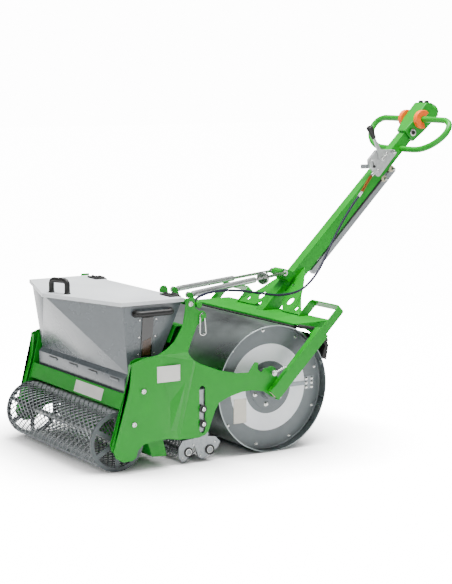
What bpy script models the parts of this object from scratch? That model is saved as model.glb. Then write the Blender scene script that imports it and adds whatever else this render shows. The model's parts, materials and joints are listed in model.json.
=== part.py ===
"""Walk-behind drum seeder: a pitching front frame with hopper, mesh roller and tine rotors,
and a rear frame with the driven drum and the tiller handle.

Metres, +Z up. X runs along the drum axle, -Y is the way it drives.
Everything is drawn with the drum's axle over y = 0 and is moved along Y at the end,
so that the machine's box is centred on the origin and the wheels stand on z = 0.
"""

import math

import bmesh
import bpy
from mathutils import Matrix, Vector

# ---------------------------------------------------------------- driving dimensions

X, Z = Vector((1, 0, 0)), Vector((0, 0, 1))
UP_SLOPE = Vector((0, 1, 1)).normalized()  # up the legs and the handle shaft
OFF_SLOPE = Vector((0, -1, 1)).normalized()  # out of their upper side

GAP = 0.0003  # between two pieces that touch
SHEET = 0.003  # panels and hopper
PLATE = 0.005  # side plates, gussets and legs

# Drum, turning on a fixed axle
DRUM_R = 0.250
DRUM_HALF = 0.400
DRUM_WALL = 0.004
DISC_X = DRUM_HALF - 0.046  # inner face of an end disc, sunk into the drum
DISC_THICK = 0.006
HUB_X = DRUM_HALF + 0.002  # outer end of the bearing boss
HUB_R = 0.080  # flange that holds the boss on the disc
HUB_THICK = 0.004
BOSS_R = 0.042
AXLE_R = 0.015
AXLE_Z = DRUM_R
AXLE = Vector((0, 0, AXLE_Z))
MOTOR_R = 0.055
MOTOR_HALF = 0.120
RUNNING = 0.0010  # clearance of a turning bore

# Mesh roller
ROLLER_Y = -0.674
ROLLER_R = 0.112
ROLLER_Z = ROLLER_R
ROLLER_HALF = DRUM_HALF - 0.024
WHEEL_WIDTH = 0.010
WHEEL_RIM = 0.016
MESH_WALL = 0.003
MESH_INSET = 0.0015  # the wheels' rims stand this much prouder than the mesh
JOURNAL_R = 0.010
JOURNAL_END = 0.004  # how far a shaft's end stands out of its bearing plate
SPOKE_WIDTH = 0.018
ROLLER_HUB_R = 0.028
ROLLER = Vector((0, ROLLER_Y, ROLLER_Z))

# Side plates: one joggled outer sheet and one flat inner sheet on each side
INNER_X = DRUM_HALF - 0.008
REAR_X = HUB_X + 0.006
FRONT_X = REAR_X + 0.024
JOGGLE_TOP = (-0.418, 0.389)
JOGGLE_FOOT = (-0.488, 0.110)
JOGGLE_WIDTH = 0.058
NOTCH_Z = 0.437
FLANGE_X = FRONT_X - 0.022  # how far in the front flange reaches
SLOT_Y = -0.329
SLOT_HALF = 0.0125
SLOT_LOW = 0.115
SLOT_HIGH = 0.297
EYE_R = 0.032
LUG_BOLT = (-0.346, 0.568)
LUG_BOLT_R = 0.005
LUG_HEAD_R = 0.0095
LUG_HEAD_X = FRONT_X + PLATE + 0.0095

# Hopper and lid
LID_Z = 0.631  # underside of the lid's top sheet
LID_SHEET = 0.006
LID_RIM = 0.009
LID_RIM_WALL = 0.0025
LID_TIP_Y = -0.797
LID_FRONT = (INNER_X + 0.006, -0.666)
LID_REAR_Y = -0.398
LID_HANG = 0.006  # how far the lid stands out past the hopper
HOPPER_DROP = 0.0025  # the seal's height between the hopper's edge and the lid
HOPPER_BASE = (INNER_X - 0.022, -0.625, -0.514)  # half width, front and rear
HOPPER_BASE_Z = 0.362
SKIRT_FRONT = -0.640
SKIRT_REAR = -0.500
SKIRT_LOW = 0.290
METER_Y = -0.570
METER_Z = 0.325
METER_R = 0.032
LID_HINGE = Vector((0, LID_REAR_Y + 0.004, LID_Z + 0.003))
WINDOW = [(-0.575, 0.425), (-0.530, 0.425), (-0.525, 0.574), (-0.573, 0.574)]
WINDOW_HOLE = [(-0.567, 0.432), (-0.537, 0.432), (-0.533, 0.566), (-0.566, 0.566)]
GRIP_LOW, GRIP_HIGH = 0.5785, 0.603
GRIP_REACH = 0.034
GRIP_BAR = 0.018

# Rear frame
LEG_X = REAR_X + 0.033  # outer face of a leg
LEG_DEPTH = 0.025
LEG_WIDTH = 0.052
LEG_LOW = -0.028
LEG_HIGH = 0.300
BAIL_WIDTH = 0.035
BAIL_THICK = 0.006
BAIL_HIGH = 0.424
BAIL_INNER_X = 0.232
BAIL_BEND = 0.010
BAIL_LAP = 0.060  # how far the bail reaches down inside the leg
BEAM_HALF = DRUM_HALF - 0.008
BEAM_TOP = 0.497
BEAM_SHEET = 0.004
BEAM_FRONT = 0.100
BEAM_REAR = 0.282

# Handle, leaning at 45 degrees; distances run up the shaft from its foot
SHAFT_FOOT = Vector((0, 0.2323, BEAM_TOP + GAP))
SHAFT_LENGTH = 0.9850
SHAFT_WIDTH = 0.050
SHAFT_TOP_WIDTH = 0.044
SHAFT_HEIGHT = 0.060
SHAFT_TOP_HEIGHT = 0.050
SHAFT_WALL = 0.003
HANDLE_R = 0.0115
DRAWN_SHAFT = 0.9850  # the control head's points are drawn for a shaft of this length


def on_head(y, z):
    """A (y, z) point of the control head, which keeps its place at the shaft's top."""
    rise = (SHAFT_LENGTH - DRAWN_SHAFT) * math.sqrt(0.5)
    return y + rise, z + rise


LOOP_LOW = on_head(0.897, 1.143)
LOOP_TOP = on_head(0.981, 1.268)
LOOP_HALF = 0.262

# Control head, stop plate and clutch lever on the handle
HOUSING_HALF = 0.042
HOUSING_TAPER = 0.070
HOUSING_NARROWING = 0.30
BUTTON_X = (-0.020, 0.020)
BUTTON_Y, BUTTON_TOP = on_head(1.029, 1.338)
BUTTON_R = 0.011
BUTTON_PLAY = 0.0005
STOP_AXIS = Vector((0, 0.80, 0.60)).normalized()
STOP_AT = Vector((0, *on_head(1.0700, 1.3010)))
STOP_R = 0.030
STOP_STEM_R = 0.012
PADDLE_X = HOUSING_HALF + 0.0015
PADDLE_WIDTH = 0.022
LEVER_BRACKET_X = SHAFT_WIDTH / 2 - 0.001
LEVER_BRACKET_WIDTH = 0.014
LEVER_PIVOT = on_head(0.780, 1.106)
LEVER_TOP = on_head(0.732, 1.199)
LEVER_THICK = 0.008
RAIL_OUT = -0.053
RAIL_WIDTH = 0.028
RAIL_HEIGHT = 0.024

# Struts between the front frame and the handle: front pin, rear pin, tube length, radius
NEAR_STRUT = (Vector((INNER_X - 0.007, -0.372, 0.645)), Vector((0.045, 0.285, 0.648)), 0.490, 0.012)
FAR_STRUT = (Vector((0.270, -0.372, 0.652)), Vector((-0.048, 0.285, 0.648)), 0.420, 0.011)
ROD_R = 0.006
NECK_R = 0.007
EYE_BORE = 0.0047
PIN_R = 0.004
EYE_OUT = 0.012
EYE_HALF = 0.006
NUT_AT = 0.560
NUT_R = 0.027
NUT_HALF = 0.007

# Wire hooks on the side plates and lock levers beside the legs
HOOK_WIRE_R = 0.0035
LUG_SHEET = 0.006
LOCK_PIN = (-0.019, 0.319)
LOCK_LEVER_END = (0.036, 0.341)

# Tine unit
TINE_Z = 0.045
TINE_Y = (-0.387, -0.293)
TINE_R = 0.040
TINE_CORE = 0.014
TINE_PLATE_X = REAR_X - 0.008
TINE_HALF = TINE_PLATE_X - 0.015
TINE_POINTS = 8
TINE_STEM = 0.060  # width of the bracket behind the slot
TINE_BOLT_R = 0.006
TINE_BOLTS_Z = (0.150, 0.208)

# Control cable, from the lever bracket to the drive box in the side plates
CABLE_R = 0.005
CABLE_ROUTE = [
    (0.031, 0.7426, 1.0446), (0.032, 0.723, 1.025), (0.038, 0.696, 0.994), (0.043, 0.668, 0.961),
    (0.048, 0.621, 0.912), (0.058, 0.560, 0.840), (0.080, 0.487, 0.750), (0.110, 0.414, 0.664),
    (0.138, 0.338, 0.609), (0.165, 0.263, 0.585), (0.196, 0.158, 0.583), (0.228, 0.056, 0.601),
    (0.262, -0.035, 0.619), (0.292, -0.109, 0.632), (0.322, -0.180, 0.640), (0.352, -0.245, 0.643),
    (0.380, -0.300, 0.641), (0.405, -0.345, 0.634), (0.419, -0.376, 0.614), (0.4235, -0.392, 0.580),
    (0.4235, -0.406, 0.540), (0.4230, -0.428, 0.495), (0.4200, -0.460, 0.450), (0.4160, -0.488, 0.405),
]


# ---------------------------------------------------------------- finishes and objects

def finish(name, colour, roughness, metallic=0.0):
    """A painted or metal finish; colour is sRGB."""
    material = bpy.data.materials.new(name)
    material.use_nodes = True
    shader = material.node_tree.nodes["Principled BSDF"]
    linear = [c / 12.92 if c <= 0.04045 else ((c + 0.055) / 1.055) ** 2.4 for c in colour]
    shader.inputs["Base Color"].default_value = (*linear, 1)
    shader.inputs["Roughness"].default_value = roughness
    shader.inputs["Metallic"].default_value = metallic
    material.diffuse_color = (*linear, 1)
    return material


def solid(name, bm, material, pivot=(0, 0, 0), helper=False):
    """Makes the drawn mesh an object whose origin is at pivot, under the machine's empty."""
    bmesh.ops.remove_doubles(bm, verts=bm.verts, dist=1e-6)
    bmesh.ops.recalc_face_normals(bm, faces=bm.faces)
    bmesh.ops.translate(bm, verts=bm.verts, vec=-Vector(pivot))
    mesh = bpy.data.meshes.new(name)
    bm.to_mesh(mesh)
    bm.free()
    mesh.shade_smooth()
    mesh.set_sharp_from_angle(angle=math.radians(35))
    mesh.materials.append(material)
    obj = bpy.data.objects.new(name, mesh)
    obj.location = pivot
    obj.parent = machine
    bpy.context.collection.objects.link(obj)
    obj.hide_render = helper
    if helper:
        obj.display_type = "WIRE"
    return obj


def combine(obj, operation, shapes):
    """Adds to, or cuts from, obj each drawn shape with a Boolean."""
    for number, bm in enumerate(shapes):
        tool = solid(f"{obj.name}_{operation.lower()}_{number}", bm, obj.data.materials[0], helper=True)
        modifier = obj.modifiers.new(f"{operation.title()} {number}", "BOOLEAN")
        modifier.operation = operation
        modifier.object = tool
    return obj


def add(obj, *shapes):
    return combine(obj, "UNION", shapes)


def cut(obj, *shapes):
    return combine(obj, "DIFFERENCE", shapes)


# ---------------------------------------------------------------- shapes

def sweep_rings(rings, closed=False, caps=True):
    """A skin over rings of points, each ring with as many points as the next."""
    bm = bmesh.new()
    loops = [[bm.verts.new(point) for point in ring] for ring in rings]
    pairs = list(zip(loops, loops[1:]))
    if closed:
        pairs.append((loops[-1], loops[0]))
    for low, high in pairs:
        for i, vert in enumerate(low):
            after = (i + 1) % len(low)
            bm.faces.new((vert, low[after], high[after], high[i]))
    if caps and not closed:
        bm.faces.new(loops[0])
        bm.faces.new(loops[-1])
    return bm


def prism(outline, x0, x1):
    """A sheet or bar along X from an outline of (y, z) points."""
    return sweep_rings([[(x, y, z) for y, z in outline] for x in (x0, x1)])


def prism_in(outline, origin, u, v, low, high):
    """A prism from (u, v) points in the plane of the unit vectors u and v, along their normal."""
    u, v = Vector(u), Vector(v)
    normal = u.cross(v)
    base = [Vector(origin) + u * a + v * b for a, b in outline]
    return sweep_rings([[p + normal * h for p in base] for h in (low, high)])


def box(x0, x1, y0, y1, z0, z1):
    return prism([(y0, z0), (y1, z0), (y1, z1), (y0, z1)], x0, x1)


def turned(profile, centre, axis, segments):
    """A closed profile of (along, radius) points, spun round the axis through centre."""
    axis = Vector(axis).normalized()
    side = axis.orthogonal().normalized()
    bm = bmesh.new()
    verts = [bm.verts.new(Vector(centre) + axis * a + side * r) for a, r in profile]
    edges = [bm.edges.new((v, verts[(i + 1) % len(verts)])) for i, v in enumerate(verts)]
    bmesh.ops.spin(
        bm, geom=edges, cent=centre, axis=axis, angle=2 * math.pi, steps=segments, use_merge=True
    )
    bmesh.ops.remove_doubles(bm, verts=bm.verts, dist=1e-5)
    return bm


def rod(start, end, radius, segments=16):
    start, end = Vector(start), Vector(end)
    length = (end - start).length
    axis = (end - start) / length
    side = axis.orthogonal().normalized()
    ring = [
        Matrix.Rotation(2 * math.pi * i / segments, 3, axis) @ side * radius for i in range(segments)
    ]
    return sweep_rings([[start + p for p in ring], [end + p for p in ring]])


def rod_x(x0, x1, y, z, radius, segments=16):
    return rod((x0, y, z), (x1, y, z), radius, segments)


def arc(centre, radius, first, last, steps):
    """Points on an arc of (y, z), from first to last degrees, counted from +Y towards +Z."""
    turns = [math.radians(first + (last - first) * i / steps) for i in range(steps + 1)]
    return [(centre[0] + radius * math.cos(t), centre[1] + radius * math.sin(t)) for t in turns]


def smooth(points, step):
    """Points about a step apart on one smooth curve through the given points."""
    points = [Vector(p) for p in points]
    ends = [points[0] * 2 - points[1], *points, points[-1] * 2 - points[-2]]
    route = [points[0]]
    for a, b, c, d in zip(ends, ends[1:], ends[2:], ends[3:]):
        pieces = max(1, round((c - b).length / step))
        for i in range(1, pieces + 1):
            t = i / pieces
            route.append(
                0.5 * (2 * b + (c - a) * t + (2 * a - 5 * b + 4 * c - d) * t * t
                       + (3 * b - a - 3 * c + d) * t ** 3)
            )
    return route


def pipe(name, points, radius, material, cyclic, resolution=2):
    """A round bar along the points, as a curve with a bevel."""
    curve = bpy.data.curves.new(name, "CURVE")
    curve.dimensions = "3D"
    curve.bevel_depth = radius
    curve.bevel_resolution = resolution
    curve.use_fill_caps = True
    curve.materials.append(material)
    spline = curve.splines.new("POLY")
    spline.points.add(len(points) - 1)
    for point, place in zip(spline.points, points):
        point.co = (*place, 1)
    spline.use_cyclic_u = cyclic
    obj = bpy.data.objects.new(name, curve)
    obj.parent = machine
    bpy.context.collection.objects.link(obj)
    return obj


def on_side(bm, side):
    """A copy of a shape that is drawn on the left, mirrored where it is for the right."""
    copy = bm.copy()
    bmesh.ops.scale(copy, verts=copy.verts, vec=(side, 1, 1))
    return copy


def both_sides(name, shape, material, pivot=(0, 0, 0), added=(), removed=()):
    """A left piece and its mirror image on the right, each with what is added and what is cut."""
    for side, end in ((1, "left"), (-1, "right")):
        obj = solid(f"{name}_{end}", on_side(shape, side), material, pivot)
        add(obj, *[on_side(extra, side) for extra in added])
        cut(obj, *[on_side(tool, side) for tool in removed])


# ---------------------------------------------------------------- drum

def make_drum():
    shell = [
        (-DRUM_HALF, DRUM_R), (DRUM_HALF, DRUM_R),
        (DRUM_HALF, DRUM_R - DRUM_WALL), (-DRUM_HALF, DRUM_R - DRUM_WALL),
    ]
    solid("drum_shell", turned(shell, AXLE, X, 48), steel, AXLE)
    disc_r = DRUM_R - DRUM_WALL - 0.0005
    bore = AXLE_R + RUNNING
    face = DISC_X + DISC_THICK
    disc = [
        (DISC_X, disc_r), (face, disc_r), (face, HUB_R), (face + HUB_THICK, HUB_R),
        (face + HUB_THICK, BOSS_R), (HUB_X, BOSS_R), (HUB_X, bore), (DISC_X - 0.014, bore),
        (DISC_X - 0.014, 0.050), (DISC_X, 0.060),
    ]
    both_sides("drum_disc", turned(disc, AXLE, X, 48), grey_paint, AXLE)


def make_axle():
    reach = LEG_X - PLATE - GAP
    solid("axle", rod_x(-reach, reach, 0, AXLE_Z, AXLE_R, 20), steel, AXLE)
    motor = [
        (-MOTOR_HALF, MOTOR_R), (MOTOR_HALF, MOTOR_R),
        (MOTOR_HALF, AXLE_R + GAP), (-MOTOR_HALF, AXLE_R + GAP),
    ]
    solid("drive_motor", turned(motor, AXLE, X, 24), dark_metal, AXLE)


# ---------------------------------------------------------------- mesh roller

def make_roller():
    length = ROLLER_HALF - WHEEL_WIDTH - GAP
    outer = ROLLER_R - MESH_INSET
    mesh = [(-length, outer), (length, outer), (length, outer - MESH_WALL), (-length, outer - MESH_WALL)]
    solid("roller_mesh", turned(mesh, ROLLER, X, 36), galvanised, ROLLER)
    rim = ROLLER_R - WHEEL_RIM
    inside, outside = ROLLER_HALF - WHEEL_WIDTH, ROLLER_HALF

    profile = [(inside, ROLLER_R), (outside, ROLLER_R), (outside, rim), (inside, rim)]
    half, root = SPOKE_WIDTH / 2, 0.003
    outline = [(0, -half), (rim + root, -half), (rim + root, half), (0, half)]
    spokes = []
    for turn in (math.radians(30 + 60 * i) for i in range(6)):
        direction = Vector((0, math.cos(turn), math.sin(turn)))
        across = X.cross(direction)
        spokes.append(prism_in(outline, ROLLER, direction, across, inside + 0.002, outside - 0.002))
    hub = rod_x(inside, outside, ROLLER_Y, ROLLER_Z, ROLLER_HUB_R, 20)
    bore = rod_x(inside - 0.01, outside + 0.01, ROLLER_Y, ROLLER_Z, JOURNAL_R + GAP, 20)
    both_sides(
        "roller_wheel", turned(profile, ROLLER, X, 36), galvanised, ROLLER,
        added=[*spokes, hub], removed=[bore],
    )
    reach = INNER_X + PLATE + JOURNAL_END
    solid("roller_shaft", rod_x(-reach, reach, ROLLER_Y, ROLLER_Z, JOURNAL_R, 20), steel, ROLLER)


# ---------------------------------------------------------------- side plates

def notch():
    """Where the neck's rear edge meets the arm, on the first bend."""
    (y0, z0), (y1, z1) = JOGGLE_FOOT, JOGGLE_TOP
    return y0 + (y1 - y0) * (NOTCH_Z - z0) / (z1 - z0), NOTCH_Z


def joggled(outline):
    """The outer side sheet: its front part lies further out than its rear part."""
    top, foot = Vector(JOGGLE_TOP), Vector(JOGGLE_FOOT)
    along = (top - foot).normalized()
    across = Vector((along.y, -along.x))  # towards the rear
    bm = bmesh.new()
    bm.faces.new([bm.verts.new((0, y, z)) for y, z in outline])
    bends = [(foot, across), (foot + across * JOGGLE_WIDTH, across), (Vector(notch()), Vector((0, 1)))]
    for point, normal in bends:
        bmesh.ops.bisect_plane(
            bm, geom=bm.verts[:] + bm.edges[:] + bm.faces[:], dist=1e-6,
            plane_co=(0, *point), plane_no=(0, *normal),
        )
    for vert in bm.verts:
        behind = (Vector((vert.co.y, vert.co.z)) - foot).dot(across) / JOGGLE_WIDTH
        if vert.co.z > NOTCH_Z - 1e-6:
            behind = 0
        vert.co.x = FRONT_X + (REAR_X - FRONT_X) * min(1, max(0, behind))
    made = bmesh.ops.extrude_face_region(bm, geom=bm.faces[:])
    outer = [v for v in made["geom"] if isinstance(v, bmesh.types.BMVert)]
    bmesh.ops.translate(bm, verts=outer, vec=(PLATE, 0, 0))
    return bm


def side_outline():
    neck_left = [
        (-0.644, 0.412), (-0.602, 0.427), (-0.533, 0.436), (-0.498, 0.454), (-0.465, 0.480),
        (-0.440, 0.518), (-0.426, 0.545), (-0.419, 0.580), (-0.414, 0.616), (-0.412, 0.640),
    ]
    neck_right = [
        (-0.376, 0.640), (-0.373, 0.600), *arc(LUG_BOLT, 0.021, 110, -50, 6),
        (-0.365, 0.535), (-0.383, 0.495), (-0.396, 0.464), notch(),
    ]
    arm_top = [
        (-0.393, 0.420), (-0.372, 0.402), (-0.340, 0.383), (-0.253, 0.348), (-0.175, 0.330),
        (-0.120, 0.328),
    ]
    ears = [
        (-0.106, 0.350), (-0.092, 0.366), (-0.078, 0.362), (-0.080, 0.335), (-0.062, 0.322),
        (-0.050, 0.338), *arc((-0.019, 0.319), 0.024, 130, -20, 6),
    ]
    eye = [*arc((0, AXLE_Z), EYE_R, 40, -140, 10), (-0.055, 0.248), (-0.108, 0.257), (-0.153, 0.255)]
    rear_low = [
        (-0.214, 0.241), (-0.254, 0.224), (-0.272, 0.195), (-0.291, 0.149), (-0.301, 0.121),
        (-0.316, 0.106), (-0.345, 0.098), (-0.435, 0.100), (-0.489, 0.115), (-0.535, 0.114),
        (-0.572, 0.111), (-0.600, 0.103), (-0.620, 0.086), (-0.628, 0.060), (-0.645, 0.050),
        (-0.680, 0.048), (-0.712, 0.066), (-0.722, 0.092),
    ]
    front = [(-0.662, 0.290), (-0.652, 0.330)]
    return neck_left + neck_right + arm_top + ears + eye + rear_low + front


def stadium(y, half, low, high, x0, x1):
    """An upright slot's cutter."""
    ends = arc((y, high - half), half, 0, 180, 8) + arc((y, low + half), half, 180, 360, 8)
    return prism(ends, x0, x1)


def make_side_plates():
    edge = [
        (-0.7210, 0.0935), (-0.6614, 0.290), (-0.6512, 0.330), (-0.6436, 0.408),
        (-0.6396, 0.408), (-0.6472, 0.330), (-0.6574, 0.290), (-0.7170, 0.0935),
    ]
    flange = prism(edge, FLANGE_X, FRONT_X + PLATE / 2)
    lug = rod_x(FRONT_X + 0.001, LUG_HEAD_X, *LUG_BOLT, LUG_BOLT_R, 12)
    lug_head = rod_x(LUG_HEAD_X - 0.001, LUG_HEAD_X + 0.004, *LUG_BOLT, LUG_HEAD_R, 12)
    slot = stadium(SLOT_Y, SLOT_HALF, SLOT_LOW, SLOT_HIGH, REAR_X - 0.02, REAR_X + 0.05)
    eye = rod_x(REAR_X - 0.02, REAR_X + 0.02, 0, AXLE_Z, AXLE_R + RUNNING, 20)
    both_sides(
        "side_plate", joggled(side_outline()), green, AXLE,
        added=[flange, lug, lug_head], removed=[slot, eye],
    )
    inner = [
        (-0.627, 0.415), (-0.655, 0.300), (-0.703, 0.147), (-0.716, 0.112), (-0.708, 0.082),
        (-0.682, 0.064), (-0.648, 0.062), (-0.624, 0.088), (-0.600, 0.112), (-0.500, 0.120),
        (-0.492, 0.125), (-0.428, 0.385), (-0.440, 0.425), (-0.600, 0.425),
    ]
    bores = [
        rod_x(INNER_X - 0.02, INNER_X + 0.02, y, z, JOURNAL_R + RUNNING)
        for y, z in ((ROLLER_Y, ROLLER_Z), (METER_Y, METER_Z))
    ]
    both_sides("inner_plate", prism(inner, INNER_X, INNER_X + PLATE), green, removed=bores)


def folded(points, thickness):
    """The outline of a folded sheet whose one face runs through the (y, z) points."""
    points = [Vector(p) for p in points]
    normals = [Vector((-(b - a).y, (b - a).x)).normalized() for a, b in zip(points, points[1:])]
    other = []
    for i, point in enumerate(points):
        before, after = normals[max(0, i - 1)], normals[min(i, len(normals) - 1)]
        middle = (before + after).normalized()
        other.append(point + middle * (thickness / middle.dot(after)))
    return [tuple(p) for p in points + other[::-1]]


def make_panels():
    reach = INNER_X - GAP
    front = folded([(-0.654, 0.296), (-0.671, 0.238), (-0.590, 0.215), (-0.553, 0.1155)], SHEET)
    solid("front_panel", prism(front, -reach, reach), green)
    rear = folded([(-0.458, 0.470), (-0.431, 0.530), (-0.396, 0.530), (-0.396, 0.220)], SHEET)
    solid("rear_panel", prism(rear, -reach, reach), green)
    deflector = [(-0.560, 0.108), (-0.490, 0.107), (-0.473, 0.040), (-0.535, 0.042)]
    solid("seed_deflector", prism(deflector, -reach, reach), green)


# ---------------------------------------------------------------- hopper and lid

def lid_outline(inset):
    """The lid's five corners at height 0, drawn in by inset: tip, left front, left rear and so on."""
    x, y = LID_FRONT
    slope = math.atan2(y - LID_TIP_Y, x)
    tip = LID_TIP_Y + inset / math.cos(slope)
    corner = y + inset * math.tan(math.pi / 4 + slope / 2) if inset else y
    left = [(x - inset, corner), (x - inset, LID_REAR_Y - inset)]
    return [(0, tip), *left, *[(-a, b) for a, b in reversed(left)]]


def make_hopper():
    half, front, rear = HOPPER_BASE
    bm = bmesh.new()
    top = [bm.verts.new((x, y, LID_Z - HOPPER_DROP)) for x, y in lid_outline(LID_HANG)]
    corners = [(half, front), (half, rear), (-half, rear), (-half, front)]
    base = [bm.verts.new((x, y, HOPPER_BASE_Z)) for x, y in corners]
    skirt_corners = [(half, SKIRT_FRONT), (half, SKIRT_REAR), (-half, SKIRT_REAR), (-half, SKIRT_FRONT)]
    skirt = [bm.verts.new((x, y, HOPPER_BASE_Z - 0.016)) for x, y in skirt_corners]
    low = [bm.verts.new((x, y, SKIRT_LOW)) for x, y in skirt_corners]
    tip, left_front, left_rear, right_rear, right_front = top
    bm.faces.new((tip, base[3], base[0]))
    bm.faces.new((tip, base[0], left_front))
    bm.faces.new((tip, right_front, base[3]))
    bm.faces.new((left_front, base[0], base[1], left_rear))
    bm.faces.new((left_rear, base[1], base[2], right_rear))
    bm.faces.new((right_rear, base[2], base[3], right_front))
    for high, under in ((base, skirt), (skirt, low)):
        for i in range(4):
            after = (i + 1) % 4
            bm.faces.new((high[i], under[i], under[after], high[after]))
    hopper = solid("hopper_shell", bm, grey_paint)
    wall = hopper.modifiers.new("Wall", "SOLIDIFY")
    wall.thickness = SHEET
    wall.offset = -1
    wall.use_even_offset = True
    journal = rod_x(-half - 0.01, half + 0.01, METER_Y, METER_Z, JOURNAL_R + RUNNING)
    view = prism(WINDOW_HOLE, half - 0.012, half + 0.030)
    cut(hopper, journal, view)
    brackets = [
        box(side * (half - 0.001), side * (INNER_X - GAP), -0.615, -0.535, 0.372, 0.378)
        for side in (1, -1)
    ]
    add(hopper, *brackets)


def hopper_side_x(z):
    """The outside of the hopper's side wall at a height."""
    high, low = LID_FRONT[0] - LID_HANG, HOPPER_BASE[0]
    return low + (high - low) * (z - HOPPER_BASE_Z) / (LID_Z - HOPPER_BASE_Z)


def make_hopper_fittings():
    bm = bmesh.new()
    loops = []
    for offset in (GAP + 0.0002, 0.004):
        loops.append([bm.verts.new((hopper_side_x(z) + offset, y, z)) for y, z in WINDOW])
    for a, b in ((0, 1), (1, 2), (2, 3), (3, 0)):
        bm.faces.new((loops[0][a], loops[0][b], loops[1][b], loops[1][a]))
    bm.faces.new(loops[0])
    bm.faces.new(loops[1])
    solid("hopper_window", bm, black_plastic)

    y0, y1 = -0.616, -0.443
    x0, foot, bevel = hopper_side_x(GRIP_HIGH) + GAP, 0.024, 0.008
    x1, bar = x0 + GRIP_REACH, x0 + GRIP_REACH - GRIP_BAR
    outline = [
        (x0, y0), (x1 - bevel, y0), (x1, y0 + bevel), (x1, y1 - bevel), (x1 - bevel, y1), (x0, y1),
        (x0, y1 - foot), (bar, y1 - foot), (bar, y0 + foot), (x0, y0 + foot),
    ]
    grip = sweep_rings([[(x, y, z) for x, y in outline] for z in (GRIP_LOW, GRIP_HIGH)])
    both_sides("hopper_grip", grip, black_plastic)


def make_lid():
    outside = lid_outline(0)
    # The rim is left open at the rear, where it would swing into the hopper.
    behind = LID_REAR_Y + 0.010
    inside = [(x, behind if y > LID_FRONT[1] + 0.1 else y) for x, y in lid_outline(LID_RIM_WALL)]
    rim_low = LID_Z - LID_RIM
    lid = solid(
        "lid_panel", sweep_rings([[(x, y, z) for x, y in outside] for z in (rim_low, LID_Z + LID_SHEET)]),
        grey_paint, LID_HINGE,
    )
    cut(lid, sweep_rings([[(x, y, z) for x, y in inside] for z in (rim_low - 0.01, LID_Z)]))
    centre = Vector((0.038, -0.7415, LID_Z + LID_SHEET + GAP))
    along = Vector((LID_FRONT[0], LID_FRONT[1] - LID_TIP_Y, 0)).normalized()
    outer, inner, rise = 0.054, 0.032, 0.060
    outline = [
        (-outer, 0), (-outer, rise - 0.012), (-outer + 0.012, rise), (outer - 0.012, rise),
        (outer, rise - 0.012), (outer, 0), (inner, 0), (inner, rise - 0.018), (-inner, rise - 0.018),
        (-inner, 0),
    ]
    solid("lid_grip", prism_in(outline, centre, along, Z, -0.011, 0.011), black_plastic, LID_HINGE)


def make_metering_shaft():
    length = HOPPER_BASE[0] - SHEET - 0.005
    reach = INNER_X + PLATE + JOURNAL_END
    centre = (0, METER_Y, METER_Z)
    teeth = 12
    ring = []
    for i in range(teeth):
        for share, radius in ((0, METER_R), (0.45, METER_R), (0.55, METER_R - 0.006), (0.9, METER_R - 0.006)):
            turn = 2 * math.pi * (i + share) / teeth
            ring.append((METER_Y + radius * math.cos(turn), METER_Z + radius * math.sin(turn)))
    shaft = solid("metering_shaft", prism(ring, -length, length), dark_metal, centre)
    add(shaft, rod_x(-reach, reach, METER_Y, METER_Z, JOURNAL_R, 16))


# ---------------------------------------------------------------- tine unit

def make_tine_unit():
    half = TINE_STEM / 2
    plate = [
        (SLOT_Y - half, 0.096), (-0.412, 0.092), (-0.429, 0.066), (-0.429, 0.027), (-0.412, 0.009),
        (-0.394, 0.015), (-0.359, 0.066), (-0.342, 0.022), (-0.328, 0.013), (-0.306, 0.018),
        (-0.257, 0.049), (-0.245, 0.071), (-0.266, 0.093), (SLOT_Y + half, 0.098),
        (SLOT_Y + half, 0.272), (SLOT_Y + half - 0.010, 0.282), (SLOT_Y - half + 0.010, 0.282),
        (SLOT_Y - half, 0.272),
    ]
    x0 = TINE_PLATE_X
    outer = REAR_X + PLATE
    studs = []
    for z in TINE_BOLTS_Z:
        studs.append(rod_x(x0 + 0.001, outer + 0.006, SLOT_Y, z, TINE_BOLT_R, 12))
        studs.append(rod_x(outer + GAP, outer + 0.0055, SLOT_Y, z, SLOT_HALF + 0.003, 16))
    bores = [rod_x(x0 - 0.01, x0 + 0.02, y, TINE_Z, JOURNAL_R + RUNNING) for y in TINE_Y]
    both_sides("tine_bracket", prism(plate, x0, x0 + PLATE), galvanised, added=studs, removed=bores)
    reach = x0 - GAP
    tie = folded([(-0.352, 0.262), (-0.352, 0.102), (-0.290, 0.102)], SHEET)
    solid("tine_crossbar", prism(tie, -reach, reach), galvanised)
    for name, y in zip(("tine_rotor_front", "tine_rotor_rear"), TINE_Y):
        ring = []
        for i in range(TINE_POINTS * 2):
            radius = TINE_R if i % 2 else TINE_CORE
            turn = math.pi * i / TINE_POINTS
            ring.append((y + radius * math.cos(turn), TINE_Z + radius * math.sin(turn)))
        rotor = solid(name, prism(ring, -TINE_HALF, TINE_HALF), galvanised, (0, y, TINE_Z))
        add(rotor, rod_x(-x0 - 0.008, x0 + 0.008, y, TINE_Z, JOURNAL_R, 16))


# ---------------------------------------------------------------- rear frame

def on_leg(along, out):
    """A (y, z) point at a distance along the leg from the axle, and out on its upper side."""
    return (
        (along - out) * math.sqrt(0.5),
        AXLE_Z + (along + out) * math.sqrt(0.5),
    )


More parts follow.
